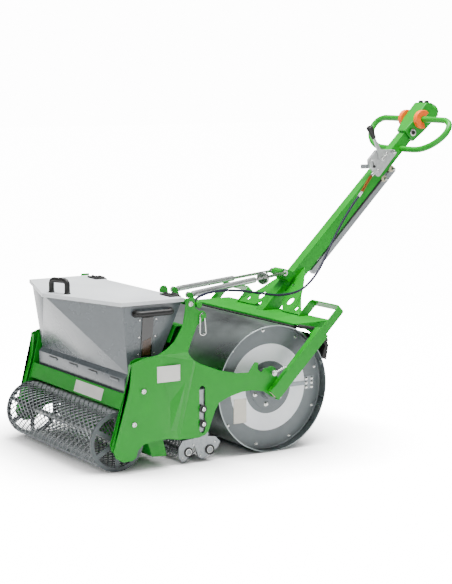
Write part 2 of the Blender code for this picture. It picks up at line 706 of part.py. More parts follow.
def make_legs():
    half, inner, web = LEG_WIDTH / 2, LEG_X - LEG_DEPTH, LEG_X - PLATE
    section = [
        (inner, -half), (LEG_X, -half), (LEG_X, half), (inner, half), (inner, half - PLATE),
        (web, half - PLATE), (web, PLATE - half), (inner, PLATE - half),
    ]
    rings = [[(x, *on_leg(along, out)) for x, out in section] for along in (LEG_LOW, LEG_HIGH)]
    both_sides("leg", sweep_rings(rings), green)

    x1, x0, t, high = web - GAP, BAIL_INNER_X, BAIL_THICK, BAIL_HIGH
    bend, foot = BAIL_BEND, LEG_HIGH - BAIL_LAP
    inner_low = (BEAM_TOP - AXLE_Z) * math.sqrt(2) - BAIL_WIDTH
    outline = [
        (x1, foot), (x1, high - bend), (x1 - bend, high), (x0 + bend, high),
        (x0, high - bend), (x0, inner_low), (x0 + t, inner_low), (x0 + t, high - bend),
        (x0 + bend, high - t), (x1 - bend, high - t), (x1 - t, high - bend), (x1 - t, foot),
    ]
    bail = prism_in(outline, AXLE, X, UP_SLOPE, -BAIL_WIDTH / 2, BAIL_WIDTH / 2)
    below = box(x0 - 0.1, x0 + 0.1, BEAM_FRONT, BEAM_REAR + 0.1, 0.3, BEAM_TOP + GAP)
    both_sides("bail", bail, green, removed=[below])


def make_beam():
    front_lip, rear_lip = BEAM_TOP - 0.008, BEAM_TOP - 0.020
    edge = [(BEAM_FRONT, front_lip), (BEAM_FRONT, BEAM_TOP), (BEAM_REAR, BEAM_TOP), (BEAM_REAR, rear_lip)]
    top = folded(edge, -BEAM_SHEET)
    beam = solid("cross_beam", prism(top, -BEAM_HALF, BEAM_HALF), green)
    end = [
        (BEAM_FRONT + 0.004, BEAM_TOP - 0.003), (BEAM_REAR, BEAM_TOP - 0.003), (0.262, 0.470),
        (0.215, 0.425), (0.180, 0.455), (0.140, 0.480),
    ]
    tie = [on_leg(0.262, -0.020), on_leg(LEG_HIGH, -0.020), on_leg(LEG_HIGH, 0.020), on_leg(0.262, 0.020)]
    reach = LEG_X - LEG_DEPTH - GAP
    for side in (1, -1):
        add(
            beam,
            prism(end, side * (BEAM_HALF - 0.004), side * (BEAM_HALF + 0.001)),
            prism(tie, side * (BEAM_HALF - 0.002), side * reach),
        )
    wiper_half = BEAM_HALF - BEAM_SHEET
    wiper = box(-wiper_half, wiper_half, BEAM_FRONT - 0.006, BEAM_FRONT + 0.018, 0.4848, front_lip - GAP)
    solid("drum_wiper", wiper, rubber)
    strip = [(0.2405, 0.350), (0.262, 0.338), (0.272, 0.398), (0.252, 0.432), (0.243, 0.428), (0.256, 0.394)]
    scraper_half = BEAM_HALF - 0.0085
    scraper = solid("rear_scraper", prism(strip, -scraper_half, scraper_half), rubber)
    ear = [(0.248, 0.420), (0.262, 0.405), (0.268, 0.418), (0.256, 0.4395), (0.244, 0.4395)]
    for side in (1, -1):
        add(scraper, prism(ear, side * (scraper_half - 0.0005), side * (BEAM_HALF - BEAM_SHEET - GAP)))


def up_shaft(distance, out=0.0, x=0.0):
    """A point at a distance up the shaft from its foot, and out on its upper side."""
    return SHAFT_FOOT + UP_SLOPE * distance + OFF_SLOPE * out + X * x


def shaft_size(distance):
    """The tapered shaft's width and height at a distance up it."""
    share = distance / SHAFT_LENGTH
    return (
        SHAFT_WIDTH + (SHAFT_TOP_WIDTH - SHAFT_WIDTH) * share,
        SHAFT_HEIGHT + (SHAFT_TOP_HEIGHT - SHAFT_HEIGHT) * share,
    )


def tapered_bar(low, high, grow):
    """A rectangular bar up the shaft, with the shaft's taper, grown or shrunk all round."""
    rings = []
    for distance in (low, high):
        w, h = [size / 2 + grow for size in shaft_size(distance)]
        rings.append([up_shaft(distance, b, a) for a, b in ((-w, -h), (w, -h), (w, h), (-w, h))])
    return sweep_rings(rings)


def make_handle():
    shaft = solid("handle_shaft", tapered_bar(-0.060, SHAFT_LENGTH, 0), green)
    near_pin, far_pin = NEAR_STRUT[1], FAR_STRUT[1]
    nose = [*arc((near_pin.y, near_pin.z), 0.018, 60, 240, 8), (0.314, 0.606), (0.350, 0.642)]
    lug_low, lug_high = far_pin.x + EYE_HALF + 0.012, near_pin.x - EYE_HALF - 0.001
    pin_low, pin_high = far_pin.x - EYE_HALF - 0.003, near_pin.x + EYE_HALF + 0.003
    add(
        shaft, prism(nose, lug_low, lug_high),
        rod_x(pin_low, pin_high, near_pin.y, near_pin.z, PIN_R, 12),
    )
    notch = rod_x(-SHAFT_WIDTH, SHAFT_WIDTH, *LOOP_LOW, HANDLE_R + GAP, 20)
    foot = box(-SHAFT_WIDTH, SHAFT_WIDTH, BEAM_FRONT, 0.5, 0.38, BEAM_TOP + GAP)
    cut(shaft, tapered_bar(-0.080, SHAFT_LENGTH - 0.006, -SHAFT_WALL), notch, foot)

    wing = [
        (0.0253, 0.100), (0.064, 0.036), (0.108, 0), (0.229, 0), (0.226, 0.016), (0.194, 0.045),
        (0.152, 0.085), (0.122, 0.125), (0.092, 0.163), (0.058, 0.198), (0.0253, 0.230),
    ]
    lift = 0.004  # a wing's square-cut foot stands this far up the slope, clear of the beam
    gusset = prism_in(wing, up_shaft(lift), X, UP_SLOPE, -PLATE / 2, PLATE / 2)
    holes = [
        rod(up_shaft(distance, -0.02, x), up_shaft(distance, 0.02, x), radius)
        for distance, x, radius in ((0.058, 0.108, 0.018), (0.030, 0.182, 0.009), (0.135, 0.045, 0.009))
    ]
    both_sides("gusset", gusset, green, removed=holes)

    (y0, z0), (y1, z1) = LOOP_LOW, LOOP_TOP
    right = [(0, 0), (0.110, 0), (0.165, 0.06), (0.215, 0.22), (0.250, 0.45), (LOOP_HALF, 0.68),
             (0.250, 0.88), (0.218, 0.985), (0.175, 1.0), (0, 1.0)]
    corners = right + [(-x, t) for x, t in reversed(right[1:-1])]
    around = [Vector((x, y0 + (y1 - y0) * t, z0 + (z1 - z0) * t)) for x, t in corners]
    route = smooth([around[-1], *around, around[0], around[1]], 0.030)
    first = next(i for i, p in enumerate(route) if (p - around[0]).length < 1e-6)
    last = max(i for i, p in enumerate(route) if (p - around[0]).length < 1e-6)
    pipe("handle_loop", route[first:last], HANDLE_R, green, cyclic=True)


def make_controls():
    corners = [
        (0.9065, 1.2205), (1.013, 1.338), (1.044, 1.338), (1.058, 1.317), (1.082, 1.285), (0.9545, 1.1725),
    ]
    outline = [on_head(*corner) for corner in corners]
    bm = prism(outline, -HOUSING_HALF, HOUSING_HALF)
    low = Vector((0, *outline[0]))
    bmesh.ops.bisect_plane(
        bm, geom=bm.verts[:] + bm.edges[:] + bm.faces[:], dist=1e-6,
        plane_co=low + UP_SLOPE * HOUSING_TAPER, plane_no=UP_SLOPE,
    )
    for vert in bm.verts:
        short = 1 - min(1, (vert.co - low).dot(UP_SLOPE) / HOUSING_TAPER)
        vert.co.x *= 1 - short * HOUSING_NARROWING
    housing = solid("control_housing", bm, green)
    wells = [
        rod((x, BUTTON_Y, BUTTON_TOP - 0.012), (x, BUTTON_Y, BUTTON_TOP + 0.02), BUTTON_R + BUTTON_PLAY)
        for x in BUTTON_X
    ]
    through = rod_x(-HOUSING_HALF - 0.02, HOUSING_HALF + 0.02, *LOOP_TOP, HANDLE_R + GAP, 20)
    socket = rod(STOP_AT - STOP_AXIS * 0.012, STOP_AT + STOP_AXIS * 0.038, STOP_STEM_R + BUTTON_PLAY)
    cut(housing, through, *wells, socket)
    for name, x in zip(("horn_button", "drive_button"), BUTTON_X):
        low = (x, BUTTON_Y, BUTTON_TOP - 0.005)
        solid(name, rod(low, (x, BUTTON_Y, BUTTON_TOP + 0.010), BUTTON_R, 16), black_plastic, low)
    stop = [
        (-0.006, STOP_STEM_R), (0.003, STOP_STEM_R), (0.003, 0.024), (0.006, STOP_R), (0.018, STOP_R),
        (0.025, 0.020), (0.027, 0.0), (-0.006, 0.0),
    ]
    solid("stop_plate", turned(stop, STOP_AT, STOP_AXIS, 20), green, STOP_AT)
    wing = arc(LOOP_TOP, 0.040, 45, 285, 12) + arc(LOOP_TOP, HANDLE_R + 0.002, 285, 45, 8)
    paddle = prism(wing, PADDLE_X, PADDLE_X + PADDLE_WIDTH)
    both_sides("throttle_paddle", paddle, orange, (0, *LOOP_TOP))

    corners = [
        (0.848, 1.142), (0.862, 1.128), (0.772, 1.031), (0.758, 1.030), (0.728, 1.060), (0.714, 1.082),
        (0.712, 1.102), (0.752, 1.142),
    ]
    bracket = [on_head(*corner) for corner in corners]
    bracket_end = LEVER_BRACKET_X + LEVER_BRACKET_WIDTH
    solid("lever_bracket", prism(bracket, LEVER_BRACKET_X, bracket_end), cast)
    pivot = Vector((bracket_end + GAP, *LEVER_PIVOT))
    aim = Vector((0, *LEVER_TOP)) - Vector((0, *LEVER_PIVOT))
    direction = aim.normalized()
    across = X.cross(direction)
    blade = [
        (-0.014, -0.010), (0.002, -0.015), (0.030, -0.011), (0.096, -0.005), (0.096, 0.005),
        (0.030, 0.011), (0.002, 0.015), (-0.014, 0.010),
    ]
    solid("lever_arm", prism_in(blade, pivot, direction, across, 0, LEVER_THICK), cast, pivot)
    grip = [(0.0965, 0), (0.0965, 0.009), (0.102, 0.0115), (0.146, 0.0145), (0.152, 0.010), (0.154, 0)]
    middle = pivot + X * (LEVER_THICK / 2)
    solid("lever_grip", turned(grip, middle, direction, 16), black_plastic, pivot)

    def up_rail(half_width, low, high, first, last):
        section = [(-half_width, low), (half_width, low), (half_width, high), (-half_width, high)]
        return sweep_rings([[up_shaft(d, b, a) for a, b in section] for d in (first, last)])

    low, high = RAIL_OUT - RAIL_HEIGHT / 2, RAIL_OUT + RAIL_HEIGHT / 2
    rail_top = SHAFT_LENGTH - 0.140
    rail = solid("conduit_rail", up_rail(RAIL_WIDTH / 2, low, high, 0.250, rail_top), alloy)
    for distance in (0.300, rail_top - 0.065):
        under = -shaft_size(distance)[1] / 2 - 0.0006
        add(rail, up_rail(0.010, RAIL_OUT, under, distance, distance + 0.030))


# ---------------------------------------------------------------- struts, hooks and locks

def eye_ring(pin):
    profile = [(-EYE_HALF, EYE_OUT), (EYE_HALF, EYE_OUT), (EYE_HALF, EYE_BORE), (-EYE_HALF, EYE_BORE)]
    return turned(profile, pin, X, 16)


def clear_of_pin(axis, radius):
    """How far from a pin's centre a bar that leans across it has to end."""
    return (EYE_BORE + 0.0005 + radius * abs(axis.x)) / math.hypot(axis.y, axis.z)


def make_struts():
    for name, (front, rear, tube_end, radius) in (("strut_near", NEAR_STRUT), ("strut_far", FAR_STRUT)):
        axis = (rear - front).normalized()
        bore = ROD_R + 0.003
        tube = [
            (0.030, radius), (tube_end, radius), (tube_end, bore), (0.060, bore), (0.055, 0), (0.030, 0),
        ]
        body = solid(f"{name}_tube", turned(tube, front, axis, 16), zinc, front)
        neck = rod(front + axis * clear_of_pin(axis, NECK_R), front + axis * 0.034, NECK_R, 12)
        add(body, eye_ring(front), neck)
        end = rear - axis * clear_of_pin(axis, ROD_R)
        rod_body = solid(f"{name}_rod", rod(front + axis * (tube_end - 0.090), end, ROD_R, 12), zinc, rear)
        add(rod_body, eye_ring(rear))
    front, rear = NEAR_STRUT[:2]
    axis = (rear - front).normalized()
    centre = front + axis * NUT_AT
    nut = [
        (-NUT_HALF, NUT_R - 0.002), (-NUT_HALF + 0.002, NUT_R), (NUT_HALF - 0.002, NUT_R),
        (NUT_HALF, NUT_R - 0.002), (NUT_HALF, 0.014), (NUT_HALF + 0.010, 0.014),
        (NUT_HALF + 0.010, ROD_R + 0.0005), (-NUT_HALF, ROD_R + 0.0005),
    ]
    solid("strut_handwheel", turned(nut, centre, axis, 24), zinc, centre)

    bar_y, bar_z = -0.352, 0.610
    lug_foot = [(bar_y - 0.011, bar_z - 0.004), (bar_y + 0.008, bar_z - 0.004)]
    reach = FRONT_X - GAP
    bar = solid("strut_bar", rod_x(-reach, reach, bar_y, bar_z, 0.012, 16), green)
    for pin in (NEAR_STRUT[0], FAR_STRUT[0]):
        side = pin.x + EYE_HALF + 0.0010
        lug = [*arc((pin.y, pin.z), 0.0115, 20, 190, 8), *lug_foot]
        add(
            bar, prism(lug, side, side + LUG_SHEET),
            rod_x(pin.x - EYE_HALF - 0.003, side + 0.001, pin.y, pin.z, PIN_R, 12),
        )
    round_lug = [*arc((-0.367, 0.640), 0.018, 10, 200, 10), *lug_foot]
    add(bar, prism(round_lug, 0.180, 0.180 + LUG_SHEET))


def make_hooks():
    y, z = LUG_BOLT
    wire = HOOK_WIRE_R
    centre_x = FRONT_X + PLATE + wire + 0.001
    half_top, half_low, drop = LUG_BOLT_R + wire + 0.0012, 0.013, 0.058
    outline = arc((y, z), half_top, 20, 160, 6) + arc((y + 0.002, z - drop), half_low, 190, 350, 8)
    for side, end in ((1, "left"), (-1, "right")):
        route = smooth([(side * centre_x, a, b) for a, b in [*outline, *outline[:2]]], 0.008)
        pipe(f"hook_{end}", route[:-7], wire, zinc, cyclic=True)


def make_locks():
    y, z = LOCK_PIN
    x0 = REAR_X + PLATE + GAP
    pin = rod_x(x0, x0 + 0.030, y, z, 0.0065, 12)
    head = rod_x(x0 + 0.018, x0 + 0.026, y, z, 0.011, 14)
    lever = rod((x0 + 0.022, y, z), (x0 + 0.022, *LOCK_LEVER_END), 0.0045, 10)
    both_sides("lock_lever", pin, zinc, (0, y, z), added=[head, lever])


# ---------------------------------------------------------------- build

for old in list(bpy.data.objects):
    bpy.data.objects.remove(old)

machine = bpy.data.objects.new("machine", None)
bpy.context.collection.objects.link(machine)
rearmost = STOP_AT.y + STOP_AXIS.y * 0.018 + STOP_R * STOP_AXIS.z
machine.location.y = -(rearmost + LID_TIP_Y) / 2

green = finish("green_paint", (0.29, 0.67, 0.34), 0.4)
grey_paint = finish("grey_paint", (0.66, 0.69, 0.70), 0.45)
steel = finish("rolled_steel", (0.62, 0.65, 0.66), 0.35, 0.9)
galvanised = finish("galvanised_steel", (0.60, 0.62, 0.63), 0.45, 0.8)
zinc = finish("zinc_plate", (0.80, 0.80, 0.79), 0.25, 1.0)
cast = finish("cast_alloy", (0.70, 0.71, 0.71), 0.4, 0.9)
alloy = finish("alloy_tube", (0.55, 0.57, 0.58), 0.4, 0.8)
dark_metal = finish("dark_metal", (0.20, 0.20, 0.21), 0.5, 0.5)
black_plastic = finish("black_plastic", (0.06, 0.06, 0.06), 0.5)
rubber = finish("rubber", (0.04, 0.04, 0.04), 0.8)
orange = finish("orange_plastic", (0.95, 0.45, 0.07), 0.4)
cable_jacket = finish("cable_jacket", (0.14, 0.11, 0.36), 0.5)

make_drum()
make_axle()
make_roller()
make_side_plates()
make_panels()
make_hopper()
make_hopper_fittings()
make_lid()
make_metering_shaft()
make_tine_unit()
make_legs()
make_beam()
make_handle()
make_controls()
make_struts()
make_hooks()
make_locks()
pipe("control_cable", smooth(CABLE_ROUTE, 0.026), CABLE_R, cable_jacket, cyclic=False)
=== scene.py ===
"""The looks of a walk-behind drum seeder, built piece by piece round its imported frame."""

import json
import math

import bmesh
import bpy
from mathutils import Matrix, Vector

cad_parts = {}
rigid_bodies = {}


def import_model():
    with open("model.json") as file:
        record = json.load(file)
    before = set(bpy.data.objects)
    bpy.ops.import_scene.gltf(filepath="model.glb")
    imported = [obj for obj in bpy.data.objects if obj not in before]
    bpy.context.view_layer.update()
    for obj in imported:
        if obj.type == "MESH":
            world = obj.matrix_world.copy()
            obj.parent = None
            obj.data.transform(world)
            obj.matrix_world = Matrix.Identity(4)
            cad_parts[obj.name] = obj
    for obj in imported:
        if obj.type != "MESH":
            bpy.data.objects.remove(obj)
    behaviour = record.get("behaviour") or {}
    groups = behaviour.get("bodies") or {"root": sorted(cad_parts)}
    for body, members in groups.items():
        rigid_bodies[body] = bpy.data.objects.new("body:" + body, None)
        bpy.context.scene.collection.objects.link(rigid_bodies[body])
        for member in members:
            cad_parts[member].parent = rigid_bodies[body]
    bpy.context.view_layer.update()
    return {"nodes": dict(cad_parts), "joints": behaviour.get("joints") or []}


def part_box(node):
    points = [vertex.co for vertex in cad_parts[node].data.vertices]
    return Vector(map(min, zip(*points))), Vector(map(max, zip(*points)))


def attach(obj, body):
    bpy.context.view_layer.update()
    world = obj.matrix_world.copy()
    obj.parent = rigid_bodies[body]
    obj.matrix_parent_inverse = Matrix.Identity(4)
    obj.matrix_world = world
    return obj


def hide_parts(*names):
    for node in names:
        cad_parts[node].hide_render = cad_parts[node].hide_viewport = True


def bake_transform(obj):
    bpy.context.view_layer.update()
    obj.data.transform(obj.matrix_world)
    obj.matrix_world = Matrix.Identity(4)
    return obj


for old in list(bpy.data.objects):
    bpy.data.objects.remove(old)
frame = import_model()
joints = {joint["name"]: joint for joint in frame["joints"]}

# ---------------------------------------------------------------- camera
# The machine is seen from its left front corner, from a little above the handle,
# through a long lens that keeps its sides nearly parallel.
bpy.ops.object.camera_add(
    location=(5.8218, -3.6829, 1.515), rotation=(math.radians(82.213), 0, math.radians(58.567))
)
camera = bpy.context.object
camera.data.lens = 104.02
camera.data.sensor_width = 36
bpy.context.scene.camera = camera

# ---------------------------------------------------------------- control cable
# A steel inner wire in a dark violet PVC sheath, 10 mm across. It leaves the clutch lever's
# bracket, sags over the beam and along the brace, and goes down into the seed drive's box.
AXLE = Vector(joints["drum_spin"]["pos_m"])


def at(x, y, z):
    """A place given by its distance behind the drum's axle and its height over the ground."""
    return Vector((x, AXLE.y + y, z))


def linear(colour):
    """An sRGB hex colour as the linear values that Blender's sockets take."""
    channels = [int(colour[i:i + 2], 16) / 255 for i in (1, 3, 5)]
    return [*(c / 12.92 if c <= 0.04045 else ((c + 0.055) / 1.055) ** 2.4 for c in channels), 1]


def add_node(material, kind, settings, links=()):
    """Adds a node with its settings, by property, socket name or socket number, and its links."""
    node = material.node_tree.nodes.new(kind)
    for name, value in settings.items():
        if isinstance(name, str) and hasattr(node, name):
            setattr(node, name, value)
        else:
            node.inputs[name].default_value = value
    for name, socket in dict(links).items():
        material.node_tree.links.new(socket, node.inputs[name])
    return node


def surface(name, pattern_mm, colours, roughness, metallic=0.0, stretch=(1, 1, 1), peel=0.0,
            peel_mm=4.0, coat=0.0, detail=4.0, specular=0.5):
    """A finish whose colour and roughness drift between two values over patches of a real size.

    stretch draws the patches out, peel is the height in metres of a fine bump of size peel_mm.
    """
    material = bpy.data.materials.new(name)
    material.use_nodes = True
    shader = material.node_tree.nodes["Principled BSDF"]
    shader.inputs["Metallic"].default_value = metallic
    shader.inputs["Coat Weight"].default_value = coat
    shader.inputs["Coat Roughness"].default_value = 0.12
    shader.inputs["Specular IOR Level"].default_value = specular
    links = material.node_tree.links
    place = add_node(material, "ShaderNodeTexCoord", {})
    drawn = add_node(
        material, "ShaderNodeMapping", {"Scale": stretch}, {"Vector": place.outputs["Object"]}
    )
    patches = add_node(
        material, "ShaderNodeTexNoise", {"Scale": 1000 / pattern_mm, "Detail": detail, "Roughness": 0.6},
        {"Vector": drawn.outputs[0]},
    )
    spread = add_node(
        material, "ShaderNodeMapRange", {"From Min": 0.3, "From Max": 0.7}, {"Value": patches.outputs[0]}
    )
    tone = add_node(
        material, "ShaderNodeMix", {"data_type": "RGBA", 6: linear(colours[0]), 7: linear(colours[1])},
        {0: spread.outputs[0]},
    )
    links.new(tone.outputs[2], shader.inputs["Base Color"])
    gloss = add_node(
        material, "ShaderNodeMapRange", {"To Min": roughness[0], "To Max": roughness[1]},
        {"Value": spread.outputs[0]},
    )
    links.new(gloss.outputs[0], shader.inputs["Roughness"])
    if peel:
        grain = add_node(
            material, "ShaderNodeTexNoise", {"Scale": 1000 / peel_mm, "Detail": 2.0},
            {"Vector": drawn.outputs[0]},
        )
        bump = add_node(
            material, "ShaderNodeBump", {"Strength": 1.0, "Distance": peel}, {"Height": grain.outputs[0]}
        )
        links.new(bump.outputs[0], shader.inputs["Normal"])
    return material


def select_only(*objects):
    """Deselects everything, then selects these and makes the first one active."""
    bpy.ops.object.select_all(action="DESELECT")
    for obj in objects:
        obj.select_set(True)
    bpy.context.view_layer.objects.active = objects[0]


def smooth_route(points, step, closed=False):
    """Points about a step apart on one smooth curve through the given points."""
    points = [Vector(p) for p in points]
    if closed:
        ends = [points[-1], *points, points[0], points[1]]
    else:
        ends = [points[0] * 2 - points[1], *points, points[-1] * 2 - points[-2]]
    route = [] if closed else [points[0]]
    for a, b, c, d in zip(ends, ends[1:], ends[2:], ends[3:]):
        pieces = max(1, round((c - b).length / step))
        for i in range(1, pieces + 1):
            t = i / pieces
            route.append(
                0.5 * (2 * b + (c - a) * t + (2 * a - 5 * b + 4 * c - d) * t * t
                       + (3 * b - a - 3 * c + d) * t ** 3)
            )
    return route


def tube(name, points, radius, sides=16, closed=False):
    """A round bar or hose along the points, made as a bevelled curve and turned to a mesh."""
    curve = bpy.data.curves.new(name, "CURVE")
    curve.dimensions = "3D"
    curve.bevel_depth = radius
    curve.bevel_resolution = sides // 4
    curve.use_fill_caps = True
    spline = curve.splines.new("POLY")
    spline.points.add(len(points) - 1)
    for point, place in zip(spline.points, points):
        point.co = (*place, 1)
    spline.use_cyclic_u = closed
    bar = bpy.data.objects.new(name, curve)
    bpy.context.collection.objects.link(bar)
    select_only(bar)
    bpy.ops.object.convert(target="MESH")
    bpy.ops.object.mode_set(mode="EDIT")
    bpy.ops.mesh.select_all(action="SELECT")
    bpy.ops.mesh.remove_doubles(threshold=1e-5)
    bpy.ops.mesh.normals_make_consistent(inside=False)
    bpy.ops.object.mode_set(mode="OBJECT")
    bpy.ops.object.shade_smooth_by_angle(angle=math.radians(40))
    return bpy.context.object


# Soft extruded PVC: nearly black, with a dull sheen and a faint ripple.
cable_pvc = surface(
    "cable_sheath_pvc", 40, ("#06041E", "#0A0728"), (0.45, 0.6), peel=0.0002, peel_mm=3, specular=0.3,
)
SHEATH_R = 0.0049
CABLE_POINTS = [
    (0.031, 0.7426, 1.0446), (0.032, 0.723, 1.025), (0.038, 0.696, 0.994), (0.043, 0.668, 0.961),
    (0.048, 0.621, 0.912), (0.058, 0.560, 0.840), (0.080, 0.487, 0.750), (0.110, 0.414, 0.664),
    (0.138, 0.338, 0.609), (0.165, 0.263, 0.585), (0.196, 0.158, 0.583), (0.228, 0.056, 0.601),
    (0.262, -0.035, 0.619), (0.292, -0.109, 0.632), (0.322, -0.180, 0.640), (0.352, -0.245, 0.643),
    (0.380, -0.300, 0.641), (0.405, -0.345, 0.634), (0.419, -0.376, 0.614), (0.4235, -0.392, 0.580),
    (0.4235, -0.406, 0.540), (0.4230, -0.428, 0.495), (0.4200, -0.460, 0.450), (0.4160, -0.488, 0.405),
]
cable_route = smooth_route([at(*point) for point in CABLE_POINTS], 0.008)
cable = tube("control_cable_sheath", cable_route, SHEATH_R)
cable.data.materials.append(cable_pvc)
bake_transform(cable)
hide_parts("control_cable")

# ---------------------------------------------------------------- drum
# Rolled from sheet steel and ground round, so that it has cloudy rolling marks and faint rings.
# It turns with its two pressed, painted end discs on a fixed axle.


def fitted(piece, name, material, body, replaces=()):
    """Names a piece, gives it its finish and fixes it to its body."""
    piece.name = piece.data.name = name
    piece.data.materials.clear()
    piece.data.materials.append(material)
    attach(piece, body)
    if replaces:
        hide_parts(*replaces)
    return piece


def turned(name, profile, centre, axis=(1, 0, 0), steps=128):
    """A closed profile of (along, radius) points spun round an axis through centre."""
    axis = Vector(axis).normalized()
    side = axis.orthogonal().normalized()
    mesh = bpy.data.meshes.new(name)
    points = [Vector(centre) + axis * along + side * radius for along, radius in profile]
    mesh.from_pydata(points, [(i, (i + 1) % len(points)) for i in range(len(points))], [])
    piece = bpy.data.objects.new(name, mesh)
    bpy.context.collection.objects.link(piece)
    select_only(piece)
    bpy.ops.object.mode_set(mode="EDIT")
    bpy.ops.mesh.select_all(action="SELECT")
    bpy.ops.mesh.spin(steps=steps, angle=2 * math.pi, center=centre, axis=axis)
    bpy.ops.mesh.select_all(action="SELECT")
    bpy.ops.mesh.remove_doubles(threshold=1e-5)
    bpy.ops.mesh.normals_make_consistent(inside=False)
    bpy.ops.object.mode_set(mode="OBJECT")
    bpy.ops.object.shade_smooth_by_angle(angle=math.radians(30))
    return piece


# Bare rolled steel: cloudy, with long soft reflections round the drum.
rolled_steel = surface(
    "rolled_steel", 240, ("#6F7878", "#A0A8A7"), (0.2, 0.44), metallic=1.0, stretch=(0.5, 1.0, 1.0),
    peel=0.0012, peel_mm=130, detail=5,
)
# Baked enamel on pressed sheet: even and satin, with a fine peel.
grey_enamel = surface(
    "grey_enamel_on_pressed_steel", 120, ("#5F6567", "#696F71"), (0.42, 0.5), metallic=0.35,
    peel=0.00008, peel_mm=4,
)
# Brushed steel, pale and dull, and calendered vinyl film, flat white with a soft gloss.
plate_steel = surface("brushed_type_plate_steel", 40, ("#A9A69C", "#BAB7AC"), (0.35, 0.45), metallic=0.6)
white_film = surface("white_vinyl_film", 80, ("#E6EAEE", "#F2F4F6"), (0.3, 0.36))
low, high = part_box("drum_shell")
drum_r = (high.z - low.z) / 2
drum_half = high.x
SKIN_EDGE = 0.0008
SKIN_THICK = 0.0038
shell = turned(
    "drum_skin",
    [(-drum_half, drum_r - SKIN_EDGE), (-drum_half + SKIN_EDGE, drum_r), (drum_half - SKIN_EDGE, drum_r),
     (drum_half, drum_r - SKIN_EDGE), (drum_half, drum_r - SKIN_THICK), (-drum_half, drum_r - SKIN_THICK)],
    AXLE, steps=192,
)
fitted(shell, "drum_skin", rolled_steel, "drum", ["drum_shell"])
DISC_FACE = 0.360  # outer face of an end disc, sunk 40 mm into the drum
RING_IN, RING_OUT = 0.104, 0.172  # radii of the pale ring on it
for side, end in ((1, "left"), (-1, "right")):
    axis = (side, 0, 0)
    profile = [
        (0.354, 0.2455), (DISC_FACE + 0.003, 0.2455), (DISC_FACE + 0.003, 0.2425), (DISC_FACE, 0.240),
        (DISC_FACE, 0.0815), (DISC_FACE + 0.001, 0.080), (DISC_FACE + 0.0035, 0.080),
        (DISC_FACE + 0.004, 0.0795), (DISC_FACE + 0.004, 0.046), (DISC_FACE + 0.008, 0.042),
        (0.401, 0.042), (0.402, 0.041), (0.402, 0.0165), (0.340, 0.0165), (0.340, 0.050), (0.354, 0.060),
    ]
    disc = turned(f"drum_end_disc_{end}", profile, AXLE, axis, 160)
    fitted(disc, f"drum_end_disc_{end}", grey_enamel, "drum", [f"drum_disc_{end}"])
    film = [(DISC_FACE + 0.0001, RING_IN), (DISC_FACE + 0.0006, RING_IN), (DISC_FACE + 0.0006, RING_OUT),
            (DISC_FACE + 0.0001, RING_OUT)]
    ring = turned("ring", film, AXLE, axis, 160)
    fitted(ring, f"drum_pale_ring_{end}", white_film, "drum")


def block(name, lowest, highest, edge, steps=3):
    """A rectangular piece between two corners, its edges rounded."""
    size = [abs(b - a) for a, b in zip(lowest, highest)]
    middle = [(a + b) / 2 for a, b in zip(lowest, highest)]
    bpy.ops.mesh.primitive_cube_add(size=1, location=middle)
    piece = bpy.context.object
    piece.name = name
    piece.dimensions = size
    bpy.ops.object.transform_apply(location=True, rotation=True, scale=True)
    bevel = piece.modifiers.new("edge", "BEVEL")
    bevel.width = edge
    bevel.segments = steps
    bevel.harden_normals = True
    bpy.ops.object.shade_smooth()
    bpy.ops.object.modifier_apply(modifier="edge")
    return piece


def hexagon_bolt(width, height, washer):
    """A hexagon bolt head on its washer, standing on the origin along +Z."""
    bpy.ops.mesh.primitive_cylinder_add(
        vertices=6, radius=width / 2, depth=height, location=(0, 0, height / 2 + washer)
    )
    head = bpy.context.object
    bpy.ops.mesh.primitive_cylinder_add(
        vertices=20, radius=width * 0.68, depth=washer, location=(0, 0, washer / 2)
    )
    disc = bpy.context.object
    for obj in (head, disc):
        bevel = obj.modifiers.new("edge", "BEVEL")
        bevel.width = min(height, washer) * 0.22
        bevel.segments = 2
    return joined([head, disc])


def button_screw(width, height):
    """A round-headed socket screw, standing on the origin along +Z, its socket sunk in the top."""
    bpy.ops.mesh.primitive_cylinder_add(
        vertices=24, radius=width / 2, depth=height, location=(0, 0, height / 2)
    )
    head = bpy.context.object
    bpy.ops.object.mode_set(mode="EDIT")
    mesh = bmesh.from_edit_mesh(head.data)
    for face in mesh.faces:
        face.select_set(face.normal.z > 0.9)
    bpy.ops.mesh.inset(thickness=width * 0.12)
    bpy.ops.transform.translate(value=(0, 0, height * 0.35))
    bpy.ops.mesh.inset(thickness=width * 0.14)
    bpy.ops.mesh.inset(thickness=width * 0.02)
    bpy.ops.transform.translate(value=(0, 0, -height * 0.5))
    bpy.ops.object.mode_set(mode="OBJECT")
    return joined([head])


def joined(parts):
    """Applies the parts' modifiers and places and joins them into one object at the origin."""
    for part in parts:
        select_only(part)
        for modifier in list(part.modifiers):
            bpy.ops.object.modifier_apply(modifier=modifier.name)
    select_only(*parts)
    bpy.ops.object.transform_apply(location=True, rotation=True, scale=True)
    bpy.ops.object.join()
    bpy.ops.object.shade_smooth_by_angle(angle=math.radians(35))
    return bpy.context.object


def set_of(master, places, towards):
    """Copies of a master that stands on the origin along +Z, one at each place, pointing towards a
    direction, as one object. The master itself is used up."""
    turn = Vector(towards).to_track_quat("Z", "Y").to_matrix().to_4x4()
    made = []
    for place in places:
        copy = bpy.data.objects.new(master.name, master.data.copy())
        bpy.context.collection.objects.link(copy)
        copy.data.transform(Matrix.Translation(place) @ turn)
        made.append(copy)
    bpy.data.objects.remove(master)
    select_only(*made)
    bpy.ops.object.join()
    return bpy.context.object


# Bright zinc: small pale parts that mirror what is round them.
zinc = surface("bright_zinc_plate", 25, ("#B4B6B4", "#BEBFBC"), (0.2, 0.28), metallic=1.0)
